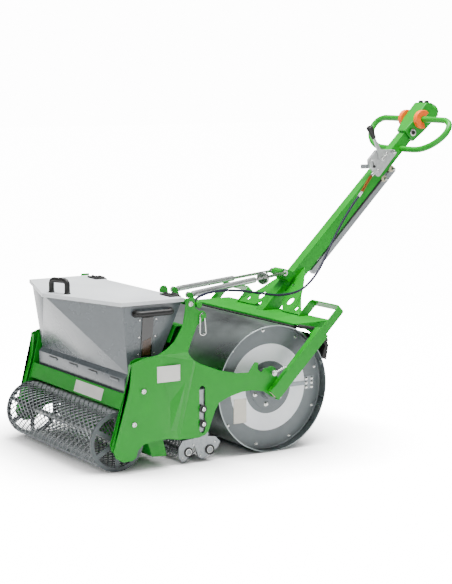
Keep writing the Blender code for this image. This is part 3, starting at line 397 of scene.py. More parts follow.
# Bolts as width, head height and washer thickness, and the radii of their circles.
DISC_BOLT, DISC_BOLTS_AT = (0.010, 0.0045, 0.0010), 0.228
HUB_BOLT, HUB_BOLTS_AT = (0.014, 0.006, 0.0012), 0.066
RIVET = (0.004, 0.0012)  # width and height


def round_axle(radius, count, first=0.0):
    """Offsets in Y and Z of holes equally spaced on a circle."""
    turns = [math.radians(first) + 2 * math.pi * i / count for i in range(count)]
    return [(radius * math.cos(turn), radius * math.sin(turn)) for turn in turns]


# A brushed steel strap, darker than the plate, with a dull shine.
strap_steel = surface("brushed_steel_strap", 20, ("#70777A", "#868C8E"), (0.3, 0.45), metallic=0.7)
for side, end in ((1, "left"), (-1, "right")):
    face = AXLE + Vector((side * DISC_FACE, 0, 0))
    rim = [face + Vector((0, y, z)) for y, z in round_axle(DISC_BOLTS_AT, 9, 16)]
    seam = [
        face + Vector((side * 0.0015, 0.193 + 0.013 * i, 0.017 * j)) for i in (-1, 1) for j in (-1, 0, 1)
    ]
    disc_bolts = set_of(hexagon_bolt(*DISC_BOLT), rim + seam, (side, 0, 0))
    fitted(disc_bolts, f"drum_disc_bolts_{end}", zinc, "drum")
    hub = [face + Vector((side * 0.004, y, z)) for y, z in round_axle(HUB_BOLTS_AT, 6, 20)]
    hub_bolts = set_of(hexagon_bolt(*HUB_BOLT), hub, (side, 0, 0))
    fitted(hub_bolts, f"drum_hub_bolts_{end}", zinc, "drum")
    strap = joined([
        block("strap", *corners, 0.0006) for corners in (
            (face + Vector((side * 0.0003, 0.080, -0.009)), face + Vector((side * 0.0018, 0.172, 0.009))),
            (face + Vector((side * 0.0003, 0.172, -0.026)), face + Vector((side * 0.0018, 0.215, 0.026))),
        )
    ])
    fitted(strap, f"drum_seam_strap_{end}", strap_steel, "drum")
    plate = block(
        "plate", face + Vector((side * 0.0007, -0.158, -0.130)),
        face + Vector((side * 0.0019, -0.100, -0.034)), 0.0006,
    )
    fitted(plate, f"drum_blank_plate_{end}", plate_steel, "drum")
    pins = [face + Vector((side * 0.0019, y, z)) for y in (-0.153, -0.105) for z in (-0.125, -0.039)]
    rivets = set_of(button_screw(*RIVET), pins, (side, 0, 0))
    fitted(rivets, f"drum_plate_rivets_{end}", zinc, "drum")

# ---------------------------------------------------------------- axle and its bearing blocks
# A cold drawn steel axle that doesn't turn, held at each end in a nylon block under the leg by a
# nut. The drum's motor, a sealed cylinder, sits on it inside the drum.


def from_frame(node, edge=0.0008, steps=2, crease=35):
    """A copy of a frame part with its triangles merged to whole faces and its edges just rounded.

    Bends sharper than crease, in degrees, are left as lines.
    """
    piece = bpy.data.objects.new(node, frame["nodes"][node].data.copy())
    bpy.context.collection.objects.link(piece)
    select_only(piece)
    bpy.ops.object.mode_set(mode="EDIT")
    bpy.ops.mesh.select_all(action="SELECT")
    bpy.ops.mesh.remove_doubles(threshold=2e-5)
    bpy.ops.mesh.dissolve_limited(angle_limit=math.radians(0.4))
    bpy.ops.object.mode_set(mode="OBJECT")
    bpy.ops.object.shade_smooth_by_angle(angle=math.radians(crease))
    if edge:
        bevel = piece.modifiers.new("edge", "BEVEL")
        bevel.width = edge
        bevel.segments = steps
        bevel.limit_method = "ANGLE"
        bevel.angle_limit = math.radians(32)
        bevel.use_clamp_overlap = False
        bevel.harden_normals = True
        bpy.ops.object.modifier_apply(modifier="edge")
    return piece


def finished(nodes, material, body, finish, edge=0.0008, steps=2, crease=35):
    """Frame parts whose shape is already right, with their edges broken and their real finish."""
    for node in nodes:
        fitted(from_frame(node, edge, steps, crease), f"{node}_{finish}", material, body, [node])


# Cold drawn steel: bright, with marks drawn out along the bar.
drawn_steel = surface(
    "cold_drawn_steel", 30, ("#9A9E9F", "#B4B7B7"), (0.25, 0.4), metallic=1.0, stretch=(0.2, 1, 1)
)
finished(["axle"], drawn_steel, "rear_frame", "drawn")
# Black paint on a turned aluminium case, even and dull.
motor_paint = surface("black_painted_aluminium", 30, ("#2B2B2D", "#38383A"), (0.45, 0.6))
finished(["drive_motor"], motor_paint, "rear_frame", "painted", 0.002)


def tilted(piece, angle, centre):
    """Turns a piece about an axle-wise line through centre; positive lifts its front."""
    piece.data.transform(
        Matrix.Translation(centre) @ Matrix.Rotation(-angle, 4, "X") @ Matrix.Translation(-Vector(centre))
    )
    return piece


# Uncoloured cast nylon: creamy and waxy.
nylon = surface("natural_nylon_block", 20, ("#B9AE93", "#C9BFA6"), (0.4, 0.5), peel=0.0001)
LEG_ANGLE = math.radians(-45)
for side, end in ((1, "left"), (-1, "right")):
    low_x, high_x = sorted((side * 0.4165, side * 0.4345))
    holder = block(
        "block", AXLE + Vector((low_x, -0.026, -0.019)), AXLE + Vector((high_x, 0.018, 0.019)), 0.002
    )
    tilted(holder, LEG_ANGLE, AXLE)
    fitted(holder, f"axle_block_{end}", nylon, "rear_frame")
    nut = set_of(hexagon_bolt(0.016, 0.004, 0.0015), [AXLE + Vector((side * 0.4346, 0, 0))], (side, 0, 0))
    fitted(nut, f"axle_end_nut_{end}", zinc, "rear_frame")

# ---------------------------------------------------------------- rear frame
# Legs pressed to channels, flat bar bails, a folded cross beam and a tapered handle shaft with its
# gussets, welded and powder coated green. A rubber wiper and a scraper keep the drum clean.
#
# Powder coat: smooth and semi-gloss, with a fine orange peel.
green_coat = surface(
    "green_powder_coat", 180, ("#048416", "#098F1C"), (0.32, 0.44), peel=0.00012, peel_mm=4, specular=0.3,
)
REAR_GREEN = [
    "leg_left", "leg_right", "bail_left", "bail_right", "cross_beam", "handle_shaft", "gusset_left",
    "gusset_right",
]
finished(REAR_GREEN, green_coat, "rear_frame", "coated", 0.0010, crease=20)
# Moulded rubber: black and matt.
wiper_rubber = surface(
    "black_wiper_rubber", 15, ("#151515", "#222222"), (0.65, 0.85), peel=0.0002, peel_mm=3
)
finished(["drum_wiper", "rear_scraper"], wiper_rubber, "rear_frame", "moulded", 0.0006)


def ridged(count, pitch, valley, crest):
    """The profile of a round piece with a ridge at every second step of its length."""
    steps = [(pitch * i, crest if i % 2 else valley) for i in range(count + 1)]
    return [(0, 0), *steps, (pitch * count, 0)]


lip = block("lip", at(-0.387, 0.1120, 0.4747), at(0.387, 0.1180, 0.4860), 0.0010)
fitted(lip, "drum_wiper_lip", wiper_rubber, "rear_frame")
for side, end in ((1, "left"), (-1, "right")):
    start, stop = at(side * 0.3895, 0.1200, 0.4860), at(side * 0.3895, 0.2000, 0.4700)
    roll = turned("roll", ridged(40, 0.0020, 0.0070, 0.0085), start, stop - start, 28)
    fitted(roll, f"wiper_end_brush_{end}", wiper_rubber, "rear_frame")

# ---------------------------------------------------------------- front frame
# Side plates bent once where they pass the drum, inner plates that carry the roller, and folded
# panels between them: laser-cut sheet in the same green powder coat.
FRONT_GREEN = [
    "side_plate_left", "side_plate_right", "inner_plate_left", "inner_plate_right", "front_panel",
    "rear_panel", "seed_deflector",
]
finished(FRONT_GREEN, green_coat, "front_frame", "coated", 0.0010, crease=12)
finished(["strut_bar"], green_coat, "front_frame", "coated", 0.0010)
PLATE_FACE = 0.437  # outer face of a side plate ahead of its bend
# Printed label stock left blank: off-white and satin.
label_film = surface("blank_satin_label", 60, ("#D3D2CC", "#DEDDD8"), (0.3, 0.4))
for side, end in ((1, "left"), (-1, "right")):
    heads = [at(side * PLATE_FACE, -0.5963, 0.3069), at(side * PLATE_FACE, -0.6367, 0.186),
             at(side * PLATE_FACE, -0.395, 0.6182)]
    screws = set_of(button_screw(0.020, 0.0055), heads, (side, 0, 0))
    fitted(screws, f"side_plate_screws_{end}", zinc, "front_frame")
    back, front = side * (PLATE_FACE + 0.0001), side * (PLATE_FACE + 0.0009)
    label = block("label", at(back, -0.5385, 0.332), at(front, -0.440, 0.393), 0.0004)
    fitted(label, f"blank_label_{end}", label_film, "front_frame")
    pins = [at(front, y, z) for y in (-0.534, -0.4445) for z in (0.3365, 0.3885)]
    rivets = set_of(button_screw(*RIVET), pins, (side, 0, 0))
    fitted(rivets, f"label_rivets_{end}", zinc, "front_frame")
panel_slope = math.atan2(0.671 - 0.654, 0.296 - 0.238)  # how far the folded front panel leans back
sticker = block("sticker", at(0.004, -0.6628, 0.243), at(0.236, -0.6622, 0.289), 0.0002, 2)
tilted(sticker, panel_slope, at(0, -0.6625, 0.267))
sticker.data.transform(Matrix.Translation((0, -0.0005, 0.00015)))
fitted(sticker, "front_panel_blank_sticker", label_film, "front_frame")

# ---------------------------------------------------------------- hopper and lid
# The seed hopper is folded and welded from thin steel sheet, with a window of smoked acrylic in its
# side and four pressed louvres in its skirt. Its lid is one folded sheet on two black nylon hinges.
#
# Grey powder coats: smooth and semi-gloss, the lid's much paler.
hopper_paint = surface(
    "light_grey_powder_coat", 200, ("#50575B", "#5A6165"), (0.22, 0.32), peel=0.0001, coat=0.12
)
lid_paint = surface(
    "pale_grey_powder_coat", 200, ("#DADEE1", "#E4E8EA"), (0.3, 0.42), peel=0.0001, coat=0.15
)
finished(["hopper_shell"], hopper_paint, "front_frame", "coated", 0.0008)
finished(["lid_panel"], lid_paint, "lid", "coated", 0.0012)
# Glass-filled nylon: black and satin, with a fine moulded grain.
nylon_black = surface(
    "black_glass_filled_nylon", 12, ("#0B0B0B", "#151515"), (0.42, 0.58), peel=0.00015, peel_mm=3,
    specular=0.35,
)


def bridge_grip(name, body, centre, along, out, half, rise, radius):
    """A bridge-shaped grip moulded round a bent rod, with a round boss at the end of each leg."""
    along, out = Vector(along).normalized(), Vector(out).normalized()
    corner = 0.016
    top = rise - radius
    arch = [
        (corner * math.sin(turn), top - corner + corner * math.cos(turn))
        for turn in (math.radians(15 * i) for i in range(6, -1, -1))
    ]
    left = [(-half, 0.0), *[(corner - half - a, b) for a, b in arch]]
    points = [Vector(centre) + along * a + out * b for a, b in left + [(-a, b) for a, b in left[::-1]]]
    bar = tube("bar", points, radius, 20)
    foot = [(0, 0), (0, radius * 1.22), (0.003, radius * 1.22), (0.005, radius * 1.05), (0.005, 0)]
    bosses = [
        turned("boss", foot, Vector(centre) + along * (way * half), out, 32) for way in (1, -1)
    ]
    fitted(joined([bar, *bosses]), f"{name}_moulded", nylon_black, body, [name])


for side, end in ((1, "left"), (-1, "right")):
    bridge_grip(
        f"hopper_grip_{end}", "front_frame", at(side * 0.3902, -0.5295, 0.5908), (0, 1, 0),
        (side, 0, 0), 0.0742, 0.0338, 0.0115,
    )
bridge_grip(
    "lid_grip", "lid", at(0.038, -0.7415, 0.6373), (0.398, 0.131, 0), (0, 0, 1), 0.0430, 0.0600, 0.0105
)
# Nitrile rubber, black and matt, which also serves as painted shade in the louvres' openings and the
# sector's slot; smoked acrylic, nearly black and glossy; brown seed behind it.
seal_rubber_and_painted_shade = surface("nitrile_seal_and_painted_shade", 8, ("#101010", "#1C1C1C"), (0.5, 0.7))
smoked = surface("smoked_acrylic_window", 30, ("#070605", "#110D09"), (0.08, 0.16), coat=0.3)
seed = surface("grass_seed_behind_acrylic", 2.5, ("#1B0F08", "#5A3B22"), (0.3, 0.5), coat=0.3, detail=2)
finished(["hopper_window"], smoked, "front_frame", "moulded", 0.001)
SIDE_LEAN = (0.392 - 0.370) / (0.631 - 0.362)  # how the hopper's side leans out as it rises


def on_hopper_side(y, z, out):
    """A place at a height out from the hopper's leaning left side."""
    return at(0.370 + SIDE_LEAN * (z - 0.362) + out, y, z)


bpy.ops.mesh.primitive_plane_add(size=1)
fill = bpy.context.object
corners = [(-0.570, 0.431), (-0.536, 0.431), (-0.5345, 0.497), (-0.569, 0.484)]
for vert, corner in zip([fill.data.vertices[i] for i in (0, 1, 3, 2)], corners):
    vert.co = on_hopper_side(*corner, 0.0041)
thick = fill.modifiers.new("thick", "SOLIDIFY")
thick.thickness = 0.0006
thick.offset = 1
fitted(joined([fill]), "seed_seen_in_window", seed, "front_frame")
WINDOW_HOLES = [
    (-0.584, 0.435), (-0.584, 0.500), (-0.583, 0.565), (-0.518, 0.435), (-0.516, 0.500), (-0.514, 0.565),
]
window_screws = set_of(
    button_screw(0.0075, 0.0025), [on_hopper_side(y, z, 0.0001) for y, z in WINDOW_HOLES],
    (1, 0, -SIDE_LEAN),
)
fitted(window_screws, "hopper_window_screws", zinc, "front_frame")
# Louvres in the skirt's front: a hood over each, and under it a thin strip of black rubber as painted
# shade in the louvre's opening
for number, x in enumerate((-0.236, -0.057, 0.112, 0.292)):
    hood = block("hood", at(x - 0.036, -0.6432, 0.3290), at(x + 0.036, -0.6398, 0.3375), 0.0016)
    fitted(hood, f"skirt_louvre_{number}", hopper_paint, "front_frame")
    louvre_opening_shade = block("louvre_opening_shade", at(x - 0.037, -0.6405, 0.3377), at(x + 0.037, -0.6398, 0.3415), 0.0002)
    fitted(louvre_opening_shade, f"skirt_louvre_painted_shade_{number}", seal_rubber_and_painted_shade, "front_frame")
# The lid's hinges: a leaf and barrel on the lid, between two lugs on the hopper
HINGE_AXIS = Vector(joints["lid_hinge"]["pos_m"])
for x, end in ((0.318, "left"), (-0.288, "right")):
    line = Vector((x, HINGE_AXIS.y, HINGE_AXIS.z + 0.004))
    leaf = block(
        "leaf", line + Vector((-0.040, -0.044, -0.0008)), line + Vector((0.040, -0.002, 0.0052)), 0.002
    )
    knuckle = [
        (-0.020, 0.0080), (0.020, 0.0080), (0.022, 0.0065), (0.022, 0.0), (-0.022, 0.0), (-0.022, 0.0065),
    ]
    barrel = turned("barrel", knuckle, line, (1, 0, 0), 28)
    holes = [line + Vector((x_off, -0.026, 0.0050)) for x_off in (-0.026, 0.026)]
    caps = set_of(button_screw(0.011, 0.004), holes, (0, 0, 1))
    fitted(joined([leaf, barrel, caps]), f"lid_hinge_leaf_{end}", nylon_black, "lid")
    lug = [(0, 0), (0, 0.0078), (0.014, 0.0078), (0.016, 0.006), (0.016, 0)]
    lugs = joined([
        turned("lug", lug, line + Vector((way * 0.0225, 0, -0.004)), (way, 0, 0), 28) for way in (1, -1)
    ])
    fitted(lugs, f"lid_hinge_fixed_{end}", nylon_black, "front_frame")
finished(["metering_shaft"], motor_paint, "seed_shaft", "milled", 0.0006)

# ---------------------------------------------------------------- mesh roller
# Expanded steel sheet rolled to a tube and welded to two spoked wheels. It rolls ahead of the
# seed's outlet and turns with the metering shaft.
#
# Zinc from the dipping bath: small dull and bright patches. The wheels' paint is darker and duller.
galvanised = surface("hot_dip_galvanised_steel", 14, ("#6C7173", "#94989A"), (0.25, 0.5), metallic=0.9)
wheel_steel = surface("grey_painted_wheel", 30, ("#4A5052", "#5B6163"), (0.4, 0.55), metallic=0.4)
ROLLER_WHEELS = ["roller_wheel_left", "roller_wheel_right"]
finished(ROLLER_WHEELS, wheel_steel, "mesh_roller", "dipped", 0.0006)
finished(["roller_shaft"], drawn_steel, "mesh_roller", "drawn", 0.0006)
ROLLER = Vector(joints["mesh_roller_spin"]["pos_m"])
mesh_low, mesh_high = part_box("roller_mesh")


def expanded_mesh(name, half, radius, cells_along, cells_round, strand, thick, tilt):
    """Expanded metal rolled to a cylinder: strands from knot to knot, each twisted a little."""
    mesh = bmesh.new()
    step_x, step_t = half / cells_along, math.pi / cells_round
    for i in range(-cells_along, cells_along):
        for j in range(2 * cells_round):
            if (i + j) % 2:
                continue
            for way in (1, -1):
                ends = []
                for k in (0, 1):
                    x, turn = (i + k) * step_x, (j + way * k) * step_t
                    ends.append(Vector((x, radius * math.cos(turn), radius * math.sin(turn))))
                middle = (ends[0] + ends[1]) / 2
                out = Vector((0, middle.y, middle.z)).normalized()
                along = (ends[1] - ends[0]).normalized()
                across = out.cross(along).normalized()
                leaned = Matrix.Rotation(tilt * way, 3, along)
                wide, deep = leaned @ across * strand / 2, leaned @ out * thick / 2
                rings = []
                for end in ends:
                    rings.append([
                        mesh.verts.new(ROLLER + end + wide * a + deep * b)
                        for a, b in ((-1, -1), (1, -1), (1, 1), (-1, 1))
                    ])
                first, last = rings
                for a in range(4):
                    b = (a + 1) % 4
                    mesh.faces.new((first[a], first[b], last[b], last[a]))
                mesh.faces.new(first[::-1])
                mesh.faces.new(last)
    bmesh.ops.recalc_face_normals(mesh, faces=mesh.faces)
    data = bpy.data.meshes.new(name)
    mesh.to_mesh(data)
    mesh.free()
    piece = bpy.data.objects.new(name, data)
    bpy.context.collection.objects.link(piece)
    return piece


mesh_r = (mesh_high.z - mesh_low.z) / 2
lattice = expanded_mesh(
    "lattice", mesh_high.x + 0.008, mesh_r - 0.0016, 20, 31, 0.0044, 0.0030, math.radians(30)
)
fitted(lattice, "roller_expanded_mesh", galvanised, "mesh_roller", ["roller_mesh"])

# ---------------------------------------------------------------- tine unit
# Two cut brackets and a tie bar slide in the side plates' slots and carry two rotors, whose tapered
# steel wires rake the seed in. Sealed bearings hold the rotors' shafts.
SLOT_Y = -0.329  # the depth slots' middle
CARRIAGE = ["tine_bracket_left", "tine_bracket_right", "tine_crossbar"]
finished(CARRIAGE, galvanised, "tine_carriage", "dipped", 0.0008)
BRACKET_HOLES = [(-0.3645, 0.0706), (-0.334, 0.0265), (-0.2705, 0.073), (-0.413, 0.026)]
for side, end in ((1, "left"), (-1, "right")):
    lobes = [at(side * 0.405, y, z) for y, z in BRACKET_HOLES]
    screws = set_of(button_screw(0.007, 0.002), lobes, (side, 0, 0))
    fitted(screws, f"tine_bracket_screws_{end}", zinc, "tine_carriage")
    clamps = [at(side * 0.4190, SLOT_Y, z) for z in (0.150, 0.208)]
    rim = [(-0.0004, 0.0085), (0.0010, 0.0085), (0.0010, 0.0156), (-0.0004, 0.0156)]
    washers = joined([turned("washer", rim, centre, (side, 0, 0), 32) for centre in clamps])
    fitted(washers, f"tine_clamp_washers_{end}", seal_rubber_and_painted_shade, "tine_carriage")
    clamp_screws = set_of(button_screw(0.017, 0.006), clamps, (side, 0, 0))
    fitted(clamp_screws, f"tine_clamp_screws_{end}", zinc, "tine_carriage")


def tine_rotor(name, centre, half, radius, rows, wires):
    """A shaft with rings of tapered wires, each ring turned a little further than the last."""
    mesh = bmesh.new()
    for row in range(rows):
        x = -half + 0.012 + (2 * half - 0.024) * row / (rows - 1)
        for wire in range(wires):
            turn = 2 * math.pi * (wire / wires + row * 0.37)
            out = Vector((0, math.cos(turn), math.sin(turn)))
            lean = Vector((0, -math.sin(turn), math.cos(turn)))
            root = centre + Vector((x, 0, 0)) + out * 0.010
            tip = centre + Vector((x + 0.006 * math.sin(9 * turn), 0, 0)) + out * radius + lean * 0.006
            rings = []
            for place, thick in ((root, 0.0019), (tip, 0.0012)):
                rings.append([
                    mesh.verts.new(
                        place + (lean * math.cos(a) + Vector((1, 0, 0)) * math.sin(a)) * thick
                    )
                    for a in (math.pi * 2 * k / 6 for k in range(6))
                ])
            for a in range(6):
                b = (a + 1) % 6
                mesh.faces.new((rings[0][a], rings[0][b], rings[1][b], rings[1][a]))
            mesh.faces.new(rings[0][::-1])
            mesh.faces.new(rings[1])
    bmesh.ops.recalc_face_normals(mesh, faces=mesh.faces)
    data = bpy.data.meshes.new(name)
    mesh.to_mesh(data)
    mesh.free()
    piece = bpy.data.objects.new(name, data)
    bpy.context.collection.objects.link(piece)
    shaft = tube("shaft", [centre - Vector((0.407, 0, 0)), centre + Vector((0.407, 0, 0))], 0.0099, 20)
    return joined([piece, shaft])


BEARING_RING = [
    (0, 0.0130), (0.0050, 0.0130), (0.0058, 0.0140), (0.0058, 0.0182), (0.0046, 0.0195), (0, 0.0195),
]
BEARING_FACE = [(0, 0.0102), (0.0030, 0.0102), (0.0036, 0.0108), (0.0036, 0.0128), (0, 0.0128)]
# The front seals stand out less, because they pass close to the side plates at full lift.
for name, joint, stand in (("front", "tine_front_spin", 0.15), ("rear", "tine_rear_spin", 1.0)):
    centre = Vector(joints[joint]["pos_m"])
    for side, end in ((1, "left"), (-1, "right")):
        face = centre + Vector((side * 0.4052, 0, 0))
        ring = turned("ring", [(out * stand, r) for out, r in BEARING_RING], face, (side, 0, 0), 40)
        fitted(ring, f"tine_{name}_seal_{end}", seal_rubber_and_painted_shade, "tine_carriage")
        race = turned("race", BEARING_FACE, face, (side, 0, 0), 40)
        fitted(race, f"tine_{name}_race_{end}", zinc, "tine_carriage")
    rotor = tine_rotor(f"tines_{name}", centre, 0.385, 0.038, 34, 8)
    fitted(rotor, f"tine_rotor_wires_{name}", galvanised, f"tine_{name}", [f"tine_rotor_{name}"])

# ---------------------------------------------------------------- struts
# Two braces from the front frame's bar to the handle, each a zinc-plated tube over a screwed rod.
# The near one is set with a knurled nut. Wire hooks and lock levers hang on the side plates.
#
# Drawn tube, zinc plated: pale and satin, with long faint marks.
drawn_tube = surface(
    "drawn_zinc_plated_tube", 60, ("#AEB2B2", "#C2C5C4"), (0.34, 0.42), metallic=0.85,
    stretch=(1, 0.1, 0.1),
)
for strut in ("strut_near", "strut_far"):
    finished([f"{strut}_tube"], drawn_tube, f"{strut}_tube", "plated", 0.0006)
    finished([f"{strut}_rod"], zinc, f"{strut}_rod", "plated", 0.0006)
finished(["strut_handwheel"], zinc, "handwheel", "plated", 0.0008)
for end in ("left", "right"):
    finished([f"hook_{end}"], zinc, f"hook_{end}", "plated", 0)
    finished([f"lock_lever_{end}"], zinc, f"lock_lever_{end}", "plated", 0.0006)

# ---------------------------------------------------------------- handle
# A bent tube loop and a coated housing with throttle paddles and buttons top the shaft. The clutch
# lever turns on a cast bracket, and an alloy rail carries the wiring under the shaft.
LOOP_LOW, LOOP_TOP, LOOP_HALF = at(0, 0.897, 1.143), at(0, 0.981, 1.268), 0.262
right_half = [(0, 0), (0.110, 0), (0.165, 0.06), (0.215, 0.22), (0.250, 0.45), (LOOP_HALF, 0.68),
              (0.250, 0.88), (0.218, 0.985), (0.175, 1.0), (0, 1.0)]
loop_corners = right_half + [(-x, t) for x, t in reversed(right_half[1:-1])]
loop_places = [LOOP_LOW.lerp(LOOP_TOP, t) + Vector((x, 0, 0)) for x, t in loop_corners]
loop_route = smooth_route(loop_places, 0.012, True)
loop = tube("loop", loop_route, 0.0132, 28, True)
fitted(loop, "handle_loop_coated", green_coat, "rear_frame", ["handle_loop"])
finished(["control_housing"], green_coat, "rear_frame", "coated", 0.004, 4)
finished(["stop_plate"], green_coat, "stop_plate", "coated", 0.002, 3)
# Moulded ABS: a clean orange with a soft gloss.
orange_abs = surface("orange_abs", 30, ("#F25C00", "#F66806"), (0.3, 0.4), peel=0.0001, specular=0.35)
PADDLES = ["throttle_paddle_left", "throttle_paddle_right"]
finished(PADDLES, orange_abs, "throttle", "moulded", 0.003, 4)
dome = [
    (-0.005, 0), (-0.005, 0.0109), (0.0040, 0.0109), (0.0070, 0.0095), (0.0092, 0.0060), (0.0099, 0),
]
for name, x in (("horn_button", -0.020), ("drive_button", 0.020)):
    head = turned("head", dome, at(x, 1.0305, 1.3378), (0, 0, 1), 40)
    fitted(head, f"{name}_domed", nylon_black, name, [name])
socket_at = at(0.0420, 0.9430, 1.2128)
bezel_rim = [
    (0, 0.0085), (0, 0.0160), (0.0012, 0.0160), (0.0022, 0.0145), (0.0024, 0.0105), (0.0012, 0.0085),
]
bezel = turned("bezel", bezel_rim, socket_at, (1, 0, 0), 48)
fitted(bezel, "charge_socket_bezel", zinc, "rear_frame")
cap_face = [(0, 0), (0.0012, 0), (0.0018, 0.006), (0.0018, 0.0104), (0, 0.0104)]
cap = turned("cap", cap_face, socket_at, (1, 0, 0), 48)
fitted(cap, "charge_socket_cap", nylon_black, "rear_frame")
# Cast aluminium with a sandy skin, and extruded aluminium with long dull marks.
cast_alloy = surface(
    "sand_cast_aluminium", 12, ("#A8ABAB", "#BEC0BF"), (0.35, 0.55), metallic=0.9, peel=0.0003,
    peel_mm=3,
)
mill_alloy = surface(
    "mill_finish_aluminium", 30, ("#7F8486", "#94999B"), (0.35, 0.5), metallic=0.9,
    stretch=(1, 0.1, 0.1),
)
finished(["lever_bracket"], cast_alloy, "rear_frame", "cast", 0.0015, 3)
BRACKET_FACE = 0.0380


def on_bracket(y, z, out=0.0):
    """A place out from the outer face of the lever's bracket."""
    return at(BRACKET_FACE + out, y, z)


# The ratchet sector: a second casting raised on the bracket's upper half, with a slot in it whose shade is
# painted as a black rubber rod.
boss = [(0, 0), (0.0035, 0), (0.0035, 0.0185), (0.0022, 0.0200), (0, 0.0200)]
sector = turned("sector", boss, on_bracket(0.7380, 1.0820), (1, 0, 0), 64)
painted_slot_shade = tube("painted_slot_shade", [on_bracket(0.7310, 1.0950, 0.0010), on_bracket(0.7400, 1.0710, 0.0010)], 0.0032, 12)
fitted(sector, "lever_sector", cast_alloy, "rear_frame")
fitted(painted_slot_shade, "lever_sector_painted_slot_shade", seal_rubber_and_painted_shade, "rear_frame")
heads = set_of(
    button_screw(0.012, 0.004),
    [on_bracket(0.8050, 1.1270), on_bracket(0.7960, 1.1130), on_bracket(0.7600, 1.0560)], (1, 0, 0),
)
stay = hexagon_bolt(0.013, 0.006, 0.016)
bolts = set_of(stay, [on_bracket(0.8350, 1.1330)], (1, 0, 0))
fitted(heads, "lever_bracket_screws", zinc, "rear_frame")
fitted(bolts, "lever_bracket_bolt", zinc, "rear_frame")
stop = set_of(button_screw(0.011, 0.004), [on_bracket(0.7385, 1.0730, 0.0038)], (1, 0, 0))
fitted(stop, "lever_sector_stop", nylon_black, "rear_frame")
foot = block("foot", at(0.010, 0.690, 1.064), at(0.0245, 0.724, 1.082), 0.001)
fitted(foot, "bracket_rear_tab", mill_alloy, "rear_frame")
# Clamps that hold the bracket and the rail to the shaft, with their nuts.
CLAMPS = ((0.8060, 1.0180), (0.8460, 1.0590))
clamp_body = [
    (-0.022, 0), (-0.022, 0.0115), (-0.019, 0.0135), (0.019, 0.0135), (0.022, 0.0115), (0.022, 0),
]
clamps = [turned("clamp", clamp_body, at(0.004, y, z), (1, 0, 0), 40) for y, z in CLAMPS]
fitted(joined(clamps), "rail_clamps", nylon, "rear_frame")
nuts = set_of(hexagon_bolt(0.010, 0.007, 0.014), [at(0.0262, y, z) for y, z in CLAMPS], (1, 0, 0))
fitted(nuts, "rail_clamp_nuts", zinc, "rear_frame")
# The sheath's end: a steel ferrule, a copper-plated spring against kinks, and an adjusting thimble.
copper = surface("copper_plated_spring", 8, ("#7A4A22", "#93602F"), (0.3, 0.45), metallic=1.0)


def coil_round(route, radius, wire, pitch):
    """A wire wound round a smooth route, as one tube."""
    points, travelled = [], 0.0
    for a, b in zip(route, route[1:]):
        along = (b - a).normalized()
        side = along.cross(Vector((1, 0, 0))).normalized()
        up = side.cross(along)
        steps = max(2, round((b - a).length / pitch * 10))
        for i in range(steps):
            turn = 2 * math.pi * (travelled + (b - a).length * i / steps) / pitch
            offset = side * (radius * math.cos(turn)) + up * (radius * math.sin(turn))
            points.append(a.lerp(b, i / steps) + offset)
        travelled += (b - a).length
    return tube("coil", points, wire, 6)


spring = coil_round(cable_route[2:13], 0.0058, 0.0011, 0.0028)
fitted(spring, "sheath_spring", copper, "rear_frame")
way = (cable_route[1] - cable_route[0]).normalized()
ferrule_steps = [
    (-0.012, 0), (-0.012, 0.0065), (0.004, 0.0075), (0.010, 0.0075), (0.016, 0.0060), (0.016, 0),
]
ferrule = turned("ferrule", ferrule_steps, cable_route[0], way, 32)
way = (cable_route[15] - cable_route[13]).normalized()
thimble = turned("thimble", ridged(19, 0.0015, 0.0060, 0.0068), cable_route[12], way, 32)
fitted(joined([ferrule, thimble]), "sheath_ferrules", zinc, "rear_frame")
# Corrugated conduit of the housing's wiring, run down between shaft and rail.
high, low = at(0.0162, 0.8049, 1.0221), at(0.0162, 0.6239, 0.8411)
FOLD = 0.0020
count = int((low - high).length / FOLD)
folds = [(0, 0), *[(FOLD * i, 0.0058 if i % 2 else 0.0048) for i in range(count)], (FOLD * count, 0)]
conduit = turned("conduit", folds, high, low - high, 20)
fitted(conduit, "corrugated_conduit", nylon_black, "rear_frame")
finished(["lever_arm"], cast_alloy, "clutch_lever", "cast", 0.0015, 3)
pivot = at(0.0465, 0.780, 1.106)
lever_way = Vector((0, 0.732 - 0.780, 1.199 - 1.106)).normalized()
pivot_bolt = set_of(button_screw(0.017, 0.005), [pivot - Vector((0.0006, 0, 0))], (1, 0, 0))
fitted(pivot_bolt, "lever_pivot_bolt", zinc, "clutch_lever")
knob = [(0.0965, 0), (0.0965, 0.0088), (0.100, 0.0105), (0.112, 0.0112), (0.130, 0.0128), (0.146, 0.0145),
        (0.151, 0.0142), (0.1538, 0.0115), (0.1545, 0.006), (0.1545, 0)]
grip = turned("grip", knob, pivot - Vector((0.0045, 0, 0)), lever_way, 48)
fitted(grip, "lever_grip_moulded", nylon_black, "clutch_lever", ["lever_grip"])
finished(["conduit_rail"], mill_alloy, "rear_frame", "extruded", 0.0015)

# ---------------------------------------------------------------- floor and light
# A white studio sweep whose glow is darkened near the machine into a painted shadow that fades out to pure
# white, a big overhead softbox, a weaker one over the operator's side, and a room that is bright overhead
# and dim at the height of the machine.
bpy.ops.mesh.primitive_plane_add(size=60, location=(0, 0, -0.0005))
floor = bpy.context.object
floor.name = "studio_floor"
floor_paint = bpy.data.materials.new("white_studio_floor")
floor_paint.use_nodes = True
floor_shader = floor_paint.node_tree.nodes["Principled BSDF"]
floor_shader.inputs["Base Color"].default_value = linear("#F0F0F0")
floor_shader.inputs["Roughness"].default_value = 0.9
WHITE_OUT = 14  # radiance that prints as paper white
MIRRORED_SHARE = 0.09  # how much of that the machine's metal reflects
PAINTED_SHADOW_REACH = 0.5  # how far from the machine the floor's glow is darkened as painted shadow, in metres
